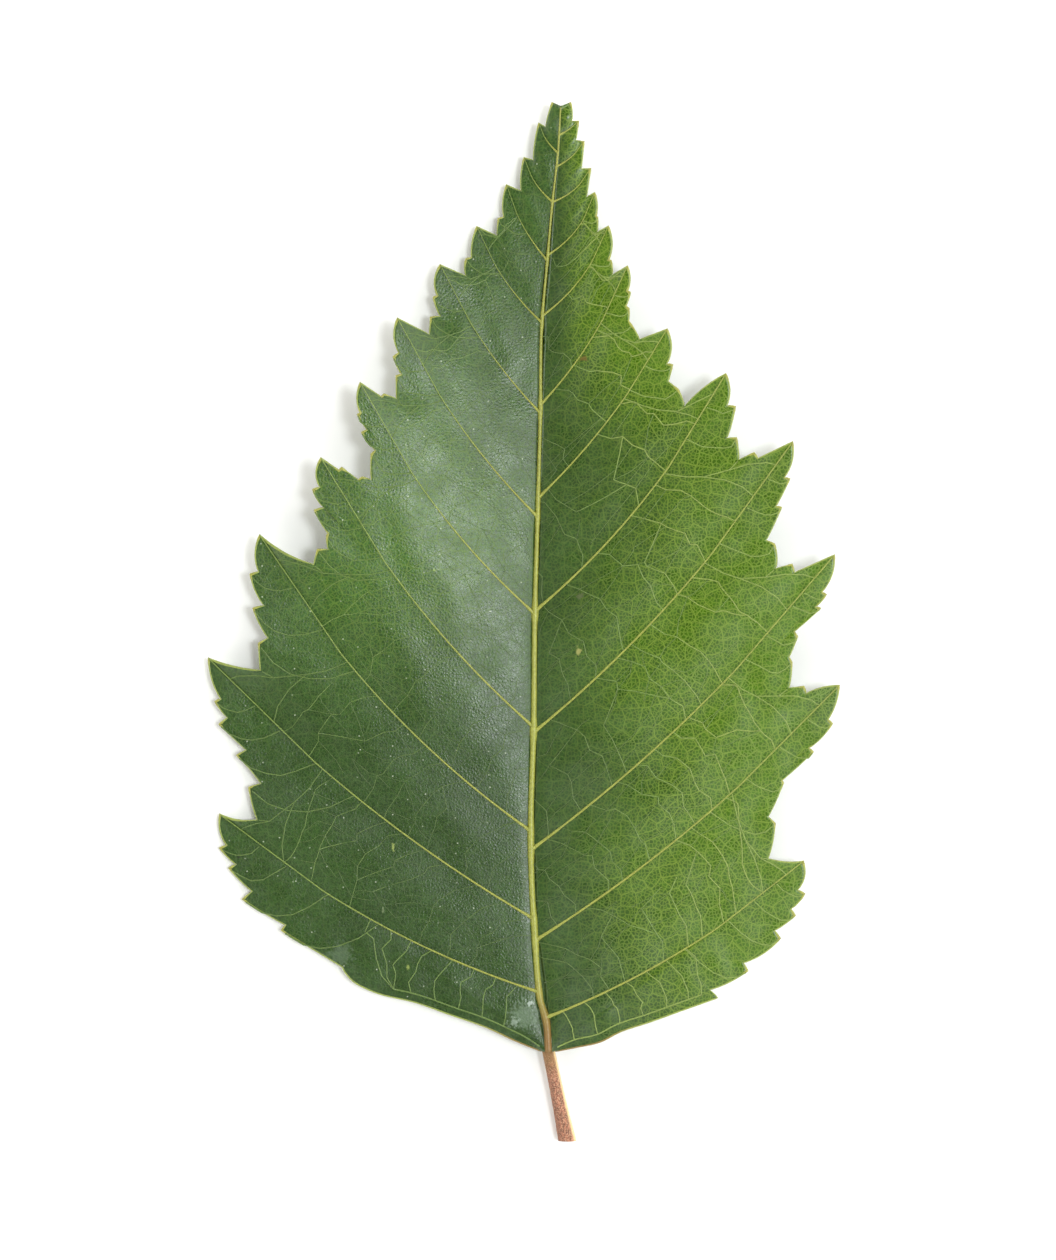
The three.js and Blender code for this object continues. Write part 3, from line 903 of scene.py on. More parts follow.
@dataclass(frozen=True)
class MarkOrSheen:
    """A small mark or a painted sheen patch on the blade: its place from the blade's foot, its half sizes and
    colour.
    """

    x: float
    y: float
    wide: float
    high: float
    colour: Colour
    strength: float = 0.8


@dataclass(frozen=True)
class BladeFinish:
    """Fresh green blade: waxy, with a fine vein net, dark meshes, a few spots, painted light and painted
    sheen.
    """

    shade_green: Colour = (0.021, 0.05, 0.01)
    sun_green: Colour = (0.046, 0.108, 0.001)
    cool_green: Colour = (0.04, 0.105, 0.014)
    net_green: Colour = (0.165, 0.25, 0.022)
    under_green: Colour = (0.12, 0.18, 0.075)
    speck_and_glint_colour: Colour = (0.5, 0.55, 0.42)
    areole: float = 0.26
    mesh: float = 1.05
    fine_lines: float = 0.72
    speck_spacing: float = 1.2
    roughness: float = 0.31
    leather_depth: float = 0.016
    marks_and_sheen: tuple[MarkOrSheen, ...] = (
        MarkOrSheen(2.55, 51.3, 0.35, 0.2, (0.13, 0.07, 0.012), 0.7),
        MarkOrSheen(2.2, 29.6, 0.22, 0.3, (0.3, 0.29, 0.09)),
        MarkOrSheen(2.35, 33.7, 0.3, 0.25, (0.09, 0.1, 0.05), 0.6),
        MarkOrSheen(-11.5, 15.1, 0.1, 0.32, (0.26, 0.32, 0.08), 0.75),
        MarkOrSheen(-10.4, 6.2, 0.16, 0.14, (0.26, 0.32, 0.08), 0.7),
        MarkOrSheen(-12.25, 10.5, 0.12, 0.32, (0.14, 0.18, 0.09), 0.7),
        MarkOrSheen(-8.45, 35.6, 0.15, 0.15, (0.22, 0.32, 0.06), 0.7),
        MarkOrSheen(-23.0, 14.3, 0.13, 0.13, (0.015, 0.025, 0.008)),
        # Painted sheen: a broad pale grey-green haze by the blade's foot, where its gloss catches the light.
        MarkOrSheen(-1.75, 2.6, 1.2, 1.2, (0.17, 0.24, 0.16), 0.4),
        MarkOrSheen(-1.4, 3.55, 0.25, 0.2, (0.45, 0.52, 0.46), 0.5),
        MarkOrSheen(-2.55, 2.2, 0.4, 0.4, (0.36, 0.44, 0.36), 0.4),
        # Painted sheen: a broad pale grey-green haze on the lower left of the blade, where its gloss catches
        # the light.
        MarkOrSheen(-15.4, 7.2, 1.1, 0.9, (0.16, 0.22, 0.15), 0.26),
    )

    def material(self, blade: Blade) -> bpy.types.Material:
        """Makes the blade's material.

        Args:
            blade: The blade, which sets the spots and the sheen patches into the frame.

        Returns:
            The material.
        """
        sheet = Sheet("birch_blade")
        place = sheet.millimetres()
        wander = sheet.noise(place, 1.3, 2.0).outputs["Color"]
        shift = sheet.vector("MULTIPLY", sheet.vector("SUBTRACT", wander, (0.5,) * 3), (0.35,) * 3)
        bent = sheet.vector("ADD", place, shift)
        areoles, meshes = self.net(sheet, bent, self.areole), self.net(sheet, bent, self.mesh)
        fine = sheet.math("MULTIPLY", sheet.climb(areoles, 0.04, 0.22, 1.0, 0.0), self.fine_lines)
        lines = sheet.math("MAXIMUM", fine, sheet.climb(meshes, 0.015, 0.06, 1.0, 0.0))
        # Painted light: by the sun value the green runs from shade_green to the lit greens, sun_green on the
        # right and cool_green on the left, painting the light that comes through the blade.
        sun, cool = sheet.value("sun"), sheet.value("left")
        lit = sheet.blend(cool, self.sun_green, self.cool_green)
        grain = sheet.cloud(place, 3.2, 0.8, 1.2, detail=2.0)
        tone = sheet.math("MULTIPLY", sheet.cloud(place, 0.16, 0.88, 1.12), grain)
        colour = sheet.shade(sheet.blend(sun, self.shade_green, lit), tone)
        # Painted light too: the net is painted clearer where more light comes through, and dimmer on the left
        # half.
        dim = sheet.climb(cool, 0.0, 1.0, 1.0, 0.5)
        clear = sheet.math("MULTIPLY", sheet.climb(sun, 0.0, 0.7, 0.14, 0.7), dim)
        colour = sheet.blend(sheet.math("MULTIPLY", lines, clear), colour, self.net_green)
        colour = self.add_marks_and_sheen(sheet, place, colour, blade)
        colour = sheet.blend(self.specks_and_glints(sheet, place), colour, self.speck_and_glint_colour)
        colour = sheet.blend(sheet.value("underside"), colour, self.under_green)
        rough = sheet.math("ADD", sheet.cloud(place, 0.45, -0.05, 0.06), self.roughness)
        rough = sheet.math("ADD", rough, sheet.math("MULTIPLY", lines, 0.1))
        sheet.shader.inputs["Specular IOR Level"].default_value = 0.5
        swell = sheet.math("MULTIPLY", sheet.climb(areoles, 0.0, 0.4), 0.3)
        leather = sheet.math("MULTIPLY", sheet.noise(place, 6.0).outputs["Fac"], 1.6)
        strength = sheet.climb(cool, 0.0, 1.0, 0.15, 1.0)
        return sheet.dress(colour, rough, sheet.math("ADD", swell, leather), strength, self.leather_depth)

    def net(self, sheet: Sheet, place: object, size: float) -> Socket:
        """Distance to the nearest line of a net of veins.

        Args:
            sheet: The material's nodes.
            place: Object coordinates in millimetres.
            size: Size of the meshes, in millimetres.

        Returns:
            The distance, in meshes.
        """
        inputs = {"Vector": place, "Scale": 1 / size, "Randomness": 0.9}
        settings = {"voronoi_dimensions": "2D", "feature": "DISTANCE_TO_EDGE"}
        return sheet.node("TexVoronoi", inputs, **settings).outputs["Distance"]

    def specks_and_glints(self, sheet: Sheet, place: object) -> Socket:
        """Share of tiny pale dots, one in some of the cells of the left half: partly resin dots, partly
        painted glints.

        Args:
            sheet: The material's nodes.
            place: Object coordinates in millimetres.

        Returns:
            The share, from 0 to 1.
        """
        inputs = {"Vector": place, "Scale": 1 / self.speck_spacing, "Randomness": 1.0}
        cells = sheet.node("TexVoronoi", inputs, voronoi_dimensions="2D")
        dot = sheet.climb(cells.outputs["Distance"], 0.025, 0.06, 0.7, 0.0)
        pick = sheet.node("SeparateColor", {"Color": cells.outputs["Color"]}).outputs[0]
        # Only on the glossy left half, where they catch its sheen: here the dots are partly painted glints.
        shade = sheet.climb(sheet.value("left"), 0.4, 0.9)
        return sheet.math("MULTIPLY", dot, sheet.math("MULTIPLY", sheet.climb(pick, 0.55, 1.1), shade))

    def add_marks_and_sheen(self, sheet: Sheet, place: object, colour: object, blade: Blade) -> Socket:
        """Lays the spots and the painted sheen patches over a colour, each a frayed round that fades out from
        its middle.

        Args:
            sheet: The material's nodes.
            place: Object coordinates in millimetres.
            colour: Colour under the marks.
            blade: The blade, which sets the spots and the sheen patches into the frame.

        Returns:
            The colour with the spots and the painted sheen patches.
        """
        fray = sheet.cloud(place, 4.0, 0.6, 1.5, detail=2.0)
        for mark in self.marks_and_sheen:
            spot = np.array([mark.x, mark.y]) + blade.offset[:2]
            away = sheet.vector("SUBTRACT", place, (*spot.tolist(), 0.0))
            away = sheet.vector("MULTIPLY", away, (1 / mark.wide, 1 / mark.high, 0.0))
            away = sheet.node("VectorMath", {0: away}, operation="LENGTH").outputs["Value"]
            share = sheet.climb(sheet.math("MULTIPLY", away, fray), 0.4, 1.1, mark.strength, 0.0)
            colour = sheet.blend(share, colour, mark.colour)
        return colour


@dataclass(frozen=True)
class VeinFinish:
    """Yellow veins, browner towards the stalk, sinking into the blade's own green where they are fine."""

    ground: BladeFinish
    fine_green: Colour = (0.2, 0.3, 0.065)
    yellow: Colour = (0.29, 0.305, 0.052)
    brown: Colour = (0.21, 0.115, 0.03)
    roughness: float = 0.4

    def material(self) -> bpy.types.Material:
        """Makes the veins' material, blended by the values sun, tone and brown of the piece.

        Returns:
            The material.
        """
        sheet = Sheet("birch_veins")
        place = sheet.millimetres()
        # Painted light: the green under the veins runs from shade_green to sun_green by the sun value, the
        # light painted as coming through the blade.
        ground = sheet.blend(sheet.value("sun"), self.ground.shade_green, self.ground.sun_green)
        tone = sheet.value("tone")
        colour = sheet.blend(tone, ground, self.fine_green)
        colour = sheet.blend(sheet.climb(tone, 0.6, 1.0), colour, self.yellow)
        fleck = sheet.cloud(place, 4.5, 0.86, 1.12)
        colour = sheet.blend(sheet.value("brown"), sheet.shade(colour, fleck), self.brown)
        rough = sheet.math("ADD", sheet.cloud(place, 6.0, -0.08, 0.1), self.roughness)
        return sheet.dress(colour, rough, fleck, strength=0.4, depth=0.02)


@dataclass(frozen=True)
class StalkFinish:
    """Pink-brown stalk with pale down and dark pits, yellow-green where it meets the blade."""

    brown: Colour = (0.4, 0.155, 0.085)
    # dark: colour of the pits and of the painted shade on the stalk's left side.
    dark: Colour = (0.15, 0.055, 0.03)
    pale: Colour = (0.7, 0.42, 0.26)
    # rim: colour of the painted highlight along the stalk's right side.
    rim: Colour = (0.85, 0.62, 0.32)
    olive: Colour = (0.22, 0.12, 0.035)
    roughness: float = 0.65

    def material(self) -> bpy.types.Material:
        """Makes the stalk's material, blended by the values ridge (painted light and shade) and top of the
        piece.

        Returns:
            The material.
        """
        sheet = Sheet("birch_stalk")
        place = sheet.millimetres()
        long_grain = sheet.node("Mapping", {"Vector": place, "Scale": (1.0, 0.35, 1.0)}).outputs["Vector"]
        pits = sheet.climb(sheet.noise(long_grain, 8.0, 3.0).outputs["Fac"], 0.4, 0.6)
        down = sheet.climb(sheet.noise(place, 11.0, 2.0).outputs["Fac"], 0.5, 0.66)
        # The value ridge paints light and shade, not a ridge: above 0 a highlight, below 0 shade.
        ridge = sheet.value("ridge")
        colour = sheet.blend(pits, self.dark, self.brown)
        colour = sheet.blend(sheet.math("MULTIPLY", down, 0.75), colour, self.pale)
        # Painted shade: the stalk's left side darkened towards dark.
        colour = sheet.blend(sheet.climb(ridge, -1.0, 0.0, 0.5, 0.0), colour, self.dark)
        colour = sheet.blend(sheet.math("MULTIPLY", sheet.value("top"), 0.85), colour, self.olive)
        # Painted highlight: the stalk's right side paled towards the rim colour, which the down and the cut
        # end share.
        colour = sheet.blend(sheet.climb(ridge, 0.0, 1.0), colour, self.rim)
        rough = sheet.math("ADD", sheet.climb(down, 0.0, 1.0, -0.05, 0.12), self.roughness)
        return sheet.dress(colour, rough, sheet.math("ADD", pits, down), strength=0.6, depth=0.05)


@dataclass
class BladeSkin:
    """The blade's closed skin: an upper and a lower face that share the margin and meet along the midrib."""

    blade: Blade
    finish: BladeFinish
    inner_rows: tuple[float, ...] = (0.18, 0.35, 0.55, 0.8, 1.15)
    rim_rows: tuple[float, ...] = (0.5, 0.3, 0.17, 0.09, 0.04, 0.012)
    middle_rows: int = 20
    midrib_steps: int = 240
    rim_radius: float = 0.17

    def rows(self, length: Array) -> Array:
        """Reaches of the rows of points, close together beside the midrib and along the margin.

        Args:
            length: Length of each column.

        Returns:
            Reaches by column and row, without the margin itself.
        """
        most = len(self.inner_rows) + len(self.rim_rows) + self.middle_rows + 1
        near = [np.minimum(row / length, (k + 1) / most) for k, row in enumerate(self.inner_rows)]
        count = len(self.rim_rows)
        far = [1 - np.minimum(row / length, (count - k) / most) for k, row in enumerate(self.rim_rows)]
        between = np.arange(1, self.middle_rows + 1) / (self.middle_rows + 1)
        middle = [lerp(near[-1], far[0], share) for share in between]
        return np.stack([*near, *middle, *far], -1)

    def build(self) -> bpy.types.Object:
        """Shapes the skin.

        Returns:
            The piece that stands for the solid blade.
        """
        parts = MeshParts()
        sizes, rib = self.blade.sizes, self.blade.sizes.midrib
        steps = np.linspace(0, BLADE_LENGTH, self.midrib_steps + 1)
        line = rib.point(steps)
        groove = sizes.groove_depth * np.minimum(1, (BLADE_LENGTH - steps) / sizes.small_panel)
        top = rib.blade_height(steps) + sizes.thickness - groove
        bottom = rib.sole_height(steps)
        ridge = parts.add_points(np.column_stack([line, top]), sun=0.1, left=0.5, underside=0.0)
        keel = parts.add_points(np.column_stack([line, bottom]), sun=0.1, left=0.5, underside=1.0)
        for side, panels in self.blade.sides.items():
            self.add_side(parts, side, panels, steps, ridge, keel)
        skin = parts.build("blade_skin", self.blade, self.finish.material(self.blade), Slot.BLADE)
        self.unwrap(skin)
        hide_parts("leaf_blade")
        return skin

    def add_side(
        self, parts: MeshParts, side: SideSizes, panels: list[Panel], steps: Array, ridge: Array, keel: Array
    ) -> None:
        """Adds one half: two grids of columns from the midrib to the margin.

        Near the margin both faces bend to its middle height along a quarter of a circle.

        Args:
            parts: Mesh that the half is added to.
            side: Sizes of the side.
            panels: Panels of the side.
            steps: Places along the midrib of its line of points.
            ridge: Vertices of the midrib's line on the upper face.
            keel: Vertices of the midrib's line on the lower face.
        """
        uppers, lowers, rims, feet = [], [], [], []
        for panel in panels:
            share = panel.shares[(1 if panel.index else 0):]
            length = panel.length(share)
            reach = self.rows(length)
            across = np.broadcast_to(share[:, None], reach.shape)
            place = panel.place(across, reach)
            upper, lower = panel.heights(across, reach)
            away = np.minimum(1, (1 - reach) * length[:, None] / self.rim_radius)
            swell = np.sqrt(1 - (1 - away) ** 2)
            middle = (upper + lower) / 2
            uppers.append(np.concatenate([place, lerp(middle, upper, swell)[..., None]], -1))
            lowers.append(np.concatenate([place, lerp(middle, lower, swell)[..., None]], -1))
            edge_upper, edge_lower = panel.heights(share, np.ones_like(share))
            margin = panel.margin_at(share)
            rims.append(np.column_stack([margin, (edge_upper + edge_lower) / 2]))
            feet.append(panel.foot_height(share))
        top, bottom, edge = np.concatenate(uppers), np.concatenate(lowers), np.concatenate(rims)
        left = side.outward < 0
        upper = parts.add_points(top, sun=self.blade.sun(top), left=float(left), underside=0.0)
        lower = parts.add_points(bottom, sun=self.blade.sun(bottom), left=float(left), underside=1.0)
        rim = parts.add_points(edge, sun=self.blade.sun(edge), left=float(left), underside=0.5)
        parts.add_grid(np.column_stack([upper, rim]), flip=left)
        parts.add_grid(np.column_stack([lower, rim]), flip=not left)
        foot = np.concatenate(feet)
        self.stitch(parts, steps, ridge, foot, upper[:, 0], flip=left)
        self.stitch(parts, steps, keel, foot, lower[:, 0], flip=not left)
        for column, turned in ((0, left), (-1, not left)):
            ends = np.stack([np.append(keel[column], lower[column]), np.append(ridge[column], upper[column])])
            parts.add_grid(ends, flip=not turned)
            parts.add_faces(np.array([[upper[column, -1], lower[column, -1], rim[column]]]), flip=turned)

    @staticmethod
    def stitch(parts: MeshParts, steps: Array, line: Array, foot: Array, inner: Array, flip: bool) -> None:
        """Joins the midrib's line to the first points of the columns.

        Both are walked along the midrib at once. The halfway places of all steps are sorted, and each adds
        the triangle of the one that steps and the place that the other has got to.

        Args:
            parts: Mesh that the triangles are added to.
            steps: Places of the line's points along the midrib.
            line: Vertices of the line.
            foot: Places along the midrib where the columns leave it.
            inner: First vertices of the columns.
            flip: Turns the triangles over.
        """
        halfway = np.concatenate([(steps[1:] + steps[:-1]) / 2, (foot[1:] + foot[:-1]) / 2])
        on_line = np.argsort(halfway, kind="stable") < len(steps) - 1
        at_line = np.cumsum(on_line) - on_line
        at_foot = np.cumsum(~on_line) - ~on_line
        last_line, last_foot = len(line) - 1, len(inner) - 1
        after = np.where(
            on_line, line[np.minimum(at_line + 1, last_line)], inner[np.minimum(at_foot + 1, last_foot)]
        )
        parts.add_faces(np.column_stack([line[at_line], inner[at_foot], after]), flip)

    @staticmethod
    def unwrap(skin: bpy.types.Object) -> None:
        """Lays both faces flat side by side in the map that textures are kept in, the lower one turned over.

        Args:
            skin: The blade's skin.
        """
        mesh = skin.data
        corners = np.zeros(len(mesh.loops), np.int32)
        mesh.loops.foreach_get("vertex_index", corners)
        places = np.zeros(len(mesh.vertices) * 3, np.float32)
        mesh.vertices.foreach_get("co", places)
        under = np.zeros(len(mesh.vertices), np.float32)
        mesh.attributes["underside"].data.foreach_get("value", under)
        starts = np.zeros(len(mesh.polygons), np.int32)
        mesh.polygons.foreach_get("loop_start", starts)
        totals = np.diff(np.append(starts, len(corners)))
        below = np.maximum.reduceat(under[corners], starts) > 0.75
        below = np.repeat(below, totals)
        x, y, _ = places.reshape(-1, 3)[corners].T / MM
        map_size, upper_middle, lower_middle = 97.0, 24.5, 72.0
        across = np.where(below, lower_middle - x, upper_middle + x) / map_size
        along = (y + map_size / 2) / map_size
        layer = mesh.uv_layers.new(name="OFBake")
        layer.data.foreach_set("uv", np.column_stack([across, along]).ravel().astype(np.float32))


@dataclass(frozen=True)
class NetLook:
    """Veins of one half: how clear each kind is, from 0 to 1, and how stout and how bent."""

    inner_clear: float
    outer_clear: float
    clearing: tuple[float, float]
    loop_clear: float
    feeder_clear: float
    base_clear: float
    vein_end_clear: float
    vein_width: float
    vein_crown: float
    crown_share: float
    feeder_lag: float
    loop_meet: float
    loop_bow: float


# Partly painted light: the right half's net is clearer and yellower, where light is painted as coming through
# it; the left's is fainter under its sheen.
RIGHT_NET = NetLook(
    inner_clear=0.3, outer_clear=0.75, clearing=(0.0, 0.6), loop_clear=0.72, feeder_clear=0.7,
    base_clear=0.72, vein_end_clear=0.84, vein_width=1.0, vein_crown=0.06, crown_share=1.0,
    feeder_lag=0.65, loop_meet=0.83, loop_bow=0.07,
)
LEFT_NET = NetLook(
    inner_clear=0.24, outer_clear=0.5, clearing=(0.2, 0.9), loop_clear=0.34, feeder_clear=0.36,
    base_clear=0.48, vein_end_clear=0.7, vein_width=0.84, vein_crown=0.1, crown_share=0.6,
    feeder_lag=1.15, loop_meet=0.78, loop_bow=0.03,
)


@dataclass
class VeinTree:
    """Midrib, side veins and the finer net, each a rib with a crowned profile carried along its path."""

    blade: Blade
    finish: VeinFinish
    midrib_half_widths: tuple[tuple[float, float], ...] = (
        (0, 0.3), (4, 0.25), (10, 0.24), (30, 0.22), (45, 0.15), (60, 0.09), (BLADE_LENGTH, 0.06),
    )
    midrib_crown: float = 0.1
    midrib_browns: tuple[float, float] = (6.5, 0.5)
    joint_swell: float = 0.05
    joint_length: float = 0.7
    side_half_width: float = 0.11
    side_half_width_at_tip: float = 0.06
    side_flare: float = 0.12
    side_flare_length: float = 0.6
    net_half_width: float = 0.06
    net_crown: float = 0.03
    net_spacing: float = 1.9
    rung_reach: float = 0.58
    rung_bow: tuple[float, float] = (0.11, 0.18)
    rung_kink: float = 0.33
    base_reach: float = 11.8
    base_inset: float = 0.62
    base_spacing: float = 1.7
    edge_sunk: float = 0.02
    keel_sunk: float = 0.07
    knots: int = 8
    seed: int = 20

    @staticmethod
    def look(panel: Panel) -> NetLook:
        """Look of the veins on the half that a panel belongs to."""
        return RIGHT_NET if panel.side.outward > 0 else LEFT_NET

    def add_ribs(
        self, parts: MeshParts, paths: Array, half: Array, crown: Array, **values: Array | float
    ) -> None:
        """Adds ribs along many paths at once.

        The profile has two edges just under the upper face, a crown above it and a keel under it.

        Args:
            parts: Mesh that the ribs are added to.
            paths: Paths in plan by path, point and coordinate.
            half: Half widths by path and point.
            crown: Heights above the upper face by path and point.
            **values: Vertex values by path and point.
        """
        across = sideways(paths) * half[..., None]
        profile = (
            (paths + across, -self.edge_sunk),
            (paths, -self.keel_sunk),
            (paths - across, -self.edge_sunk),
            (paths, crown),
        )
        corners = []
        for place, rise in profile:
            height = self.blade.height(place) + rise
            corners.append(np.concatenate([place, height[..., None]], -1))
        ring = np.stack(corners, -2)
        spread = {name: np.broadcast_to(value, half.shape)[..., None] for name, value in values.items()}
        numbers = parts.add_points(ring, sun=self.blade.sun(ring), **spread)
        parts.add_grid(numbers, closed=True, flip=True)
        parts.add_faces(numbers[:, 0, :], flip=False)
        parts.add_faces(numbers[:, -1, :], flip=True)

    def add_net(self, parts: MeshParts, path: Array, weight: float, clear: float) -> None:
        """Adds ribs of one width and clearness to the net.

        Args:
            parts: Mesh that the ribs are added to.
            path: Paths in plan by path, point and coordinate.
            weight: Width compared with the net's.
            clear: How clear they are, from 0 to 1.
        """
        half = np.full(path.shape[:2], self.net_half_width * weight)
        self.add_ribs(parts, path, half, self.net_crown + 0.2 * half, tone=clear, brown=0.0)

    def midrib(self) -> bpy.types.Object:
        """Shapes the midrib, widest at the stalk and at each vein, browner below its lowest veins.

        Returns:
            The piece.
        """
        parts = MeshParts()
        y = np.linspace(-0.05, BLADE_LENGTH - 0.1, 400)
        path = self.blade.sizes.midrib.point(np.maximum(y, 0))
        path[:, 1] = y
        half = np.interp(y, *np.array(self.midrib_half_widths).T)
        feet = np.array([run.foot for side in self.blade.sides for run in side.runs[:-1]])
        swell = self.joint_swell * np.exp(-(((y[:, None] - feet) / self.joint_length) ** 2)).sum(1)
        half = half + swell * np.minimum(1, half / 0.2)
        crown = self.midrib_crown + 0.35 * half
        brown = smoothstep(*self.midrib_browns, y)
        self.add_ribs(parts, path[None], half[None], crown[None], tone=1.0, brown=brown[None])
        return parts.build(Level.MIDRIB.value, self.blade, self.finish.material(), Slot.BLADE)

    def side_veins(self, material: bpy.types.Material) -> bpy.types.Object:
        """Shapes the side veins from the midrib to their teeth, flared where they leave it.

        Args:
            material: Finish of the veins.

        Returns:
            The piece.
        """
        parts = MeshParts()
        share = np.linspace(0, 1, 90)
        for panels in self.blade.sides.values():
            for panel in panels[:-1]:
                look = self.look(panel)
                path = panel.place(1.0, share)
                length = float(panel.length(1.0))
                size = min(1.0, 0.45 + length / 40)
                half = lerp(self.side_half_width, self.side_half_width_at_tip, share**0.6) * look.vein_width
                half = (half + self.side_flare * np.exp(-share * length / self.side_flare_length)) * size
                crown = look.vein_crown + 0.3 * half
                tone = lerp(0.98, look.vein_end_clear, smoothstep(0.0, 0.8, share))
                self.add_ribs(parts, path[None], half[None], crown[None], tone=tone[None], brown=0.0)
        return parts.build(Level.SIDE.value, self.blade, material, Slot.BLADE)

    def net(self, material: bpy.types.Material) -> bpy.types.Object:
        """Shapes the net between the side veins.

        Args:
            material: Finish of the net.

        Returns:
            The piece.
        """
        parts = MeshParts()
        draw = np.random.default_rng(self.seed)
        for panels in self.blade.sides.values():
            for panel in panels:
                if panel.index == 0:
                    self.add_base(parts, panel, draw)
                elif len(rungs := self.rungs(panel, draw)) > 2:
                    self.add_rungs(parts, panel, rungs, draw)
                    self.add_loops(parts, panel)
                self.add_feeders(parts, panel, draw)
        return parts.build(Level.NET.value, self.blade, material, Slot.BLADE)

    def rungs(self, panel: Panel, draw: np.random.Generator) -> Array:
        """Knots of the rungs between two side veins.

        A rung leaves the vein above, crosses to the vein below square to both and bows to the margin. In
        share and reach it is a slanted line with a bow and small kinks. The innermost start at the midrib.

        Args:
            panel: The panel they cross.
            draw: Source of the random kinks.

        Returns:
            Shares and reaches by rung, knot and coordinate.
        """
        length = float(panel.length(1.0))
        along = (bezier(panel.above, 0.6) - bezier(panel.above, 0.4)) / 0.2
        up = bezier(panel.above, 0.5) - bezier(panel.below, 0.5)
        slant = float(np.clip(up @ along / (along @ along), 0.0, 0.6))
        width = float(np.hypot(*(up - slant * along)))
        count = int((self.rung_reach + slant) * length / self.net_spacing)
        share = np.tile(np.linspace(1, 0, self.knots), (count, 1))
        share[:, 1:-1] += draw.uniform(-0.05, 0.05, (count, self.knots - 2))
        start = np.linspace(-slant, self.rung_reach, count) + draw.uniform(-0.3, 0.3, count) / max(count, 1)
        bow = draw.uniform(*self.rung_bow, (count, 1)) * width / length
        reach = start[:, None] + slant * (1 - share) + bow * 4 * share * (1 - share)
        reach[:, 1:-1] += draw.uniform(-self.rung_kink, self.rung_kink, (count, self.knots - 2)) / length
        return np.stack([share, reach], -1)

    def add_base(self, parts: MeshParts, panel: Panel, draw: np.random.Generator) -> None:
        """Adds the vein along the foot of the margin and the rungs that come down to it.

        The vein starts at the stalk and keeps one distance from the margin. A rung leaves the lowest side
        vein square to it, bows outwards and ends where its line meets the vein along the margin.

        Args:
            parts: Mesh that the veins are added to.
            panel: The lowest panel of a side.
            draw: Source of the random kinks.
        """
        outward = panel.side.outward
        shoulder = panel.margin[panel.margin[:, 0] * outward < self.base_reach]
        inset = self.base_inset * smoothstep(-1.0, 2.5, shoulder[:, 0] * outward)
        edge = (shoulder + sideways(shoulder) * outward * inset[:, None])[2:]
        start_share = np.arange(0.06, 0.56, self.base_spacing / float(panel.length(1.0)))
        start = bezier(panel.above, start_share)
        run = bezier(panel.above, start_share + 0.01) - start
        run /= np.hypot(*run.T)[:, None]
        gap = edge[None] - start[:, None]
        end = edge[np.argmin(np.abs(gap @ run[..., None])[..., 0], 1)]
        share = np.linspace(0, 1, 6)
        knots = lerp(start[:, None], end[:, None], share[:, None])
        size = np.hypot(*(end - start).T)[:, None, None]
        knots += run[:, None] * size * (0.5 * share * (1 - share))[:, None]
        knots[:, 1:-1] += draw.uniform(-0.07, 0.07, knots[:, 1:-1].shape) * size
        clear = self.look(panel).base_clear
        self.add_net(parts, edge[None], 1.25, clear)
        self.add_net(parts, bent_line(knots, 26), 1.0, clear)

    def add_rungs(self, parts: MeshParts, panel: Panel, rungs: Array, draw: np.random.Generator) -> None:
        """Adds the rungs of a panel: most cross it whole, some merge into the next one, some fork off it.

        Args:
            parts: Mesh that the rungs are added to.
            panel: The panel they cross.
            rungs: Their knots.
            draw: Source of the random choice.
        """
        pick = draw.uniform(size=len(rungs) - 1)
        merging, forking = pick < 0.16, pick > 0.84
        whole = np.append(~(merging | forking), True)
        after = rungs[1:]
        merged = np.concatenate([rungs[:-1, :4], after[:, 5:6]], 1)[merging]
        forked = np.concatenate([after[:, 2:3], rungs[:-1, 3:]], 1)[forking]
        for knots in (rungs[whole], merged, forked):
            self.add_inside(parts, panel, knots, 1.0)
        self.add_inside(parts, panel, self.links(rungs, draw), 0.62)

    @staticmethod
    def links(rungs: Array, draw: np.random.Generator) -> Array:
        """Short bent links between knots of neighbouring rungs.

        Args:
            rungs: Knots of the rungs by rung, knot and coordinate.
            draw: Source of the random choice.

        Returns:
            Three knots for each link.
        """
        first, second = rungs[:-1, 1:-1], rungs[1:, 1:-1]
        lean = draw.integers(-1, 2, first.shape[:2])
        index = np.clip(np.arange(first.shape[1]) + lean, 0, first.shape[1] - 1)
        end = np.take_along_axis(second, index[..., None], 1)
        middle = (first + end) / 2 + draw.uniform(-0.02, 0.02, first.shape)
        keep = draw.uniform(size=first.shape[:2]) < 0.6
        return np.stack([first, middle, end], -2)[keep]

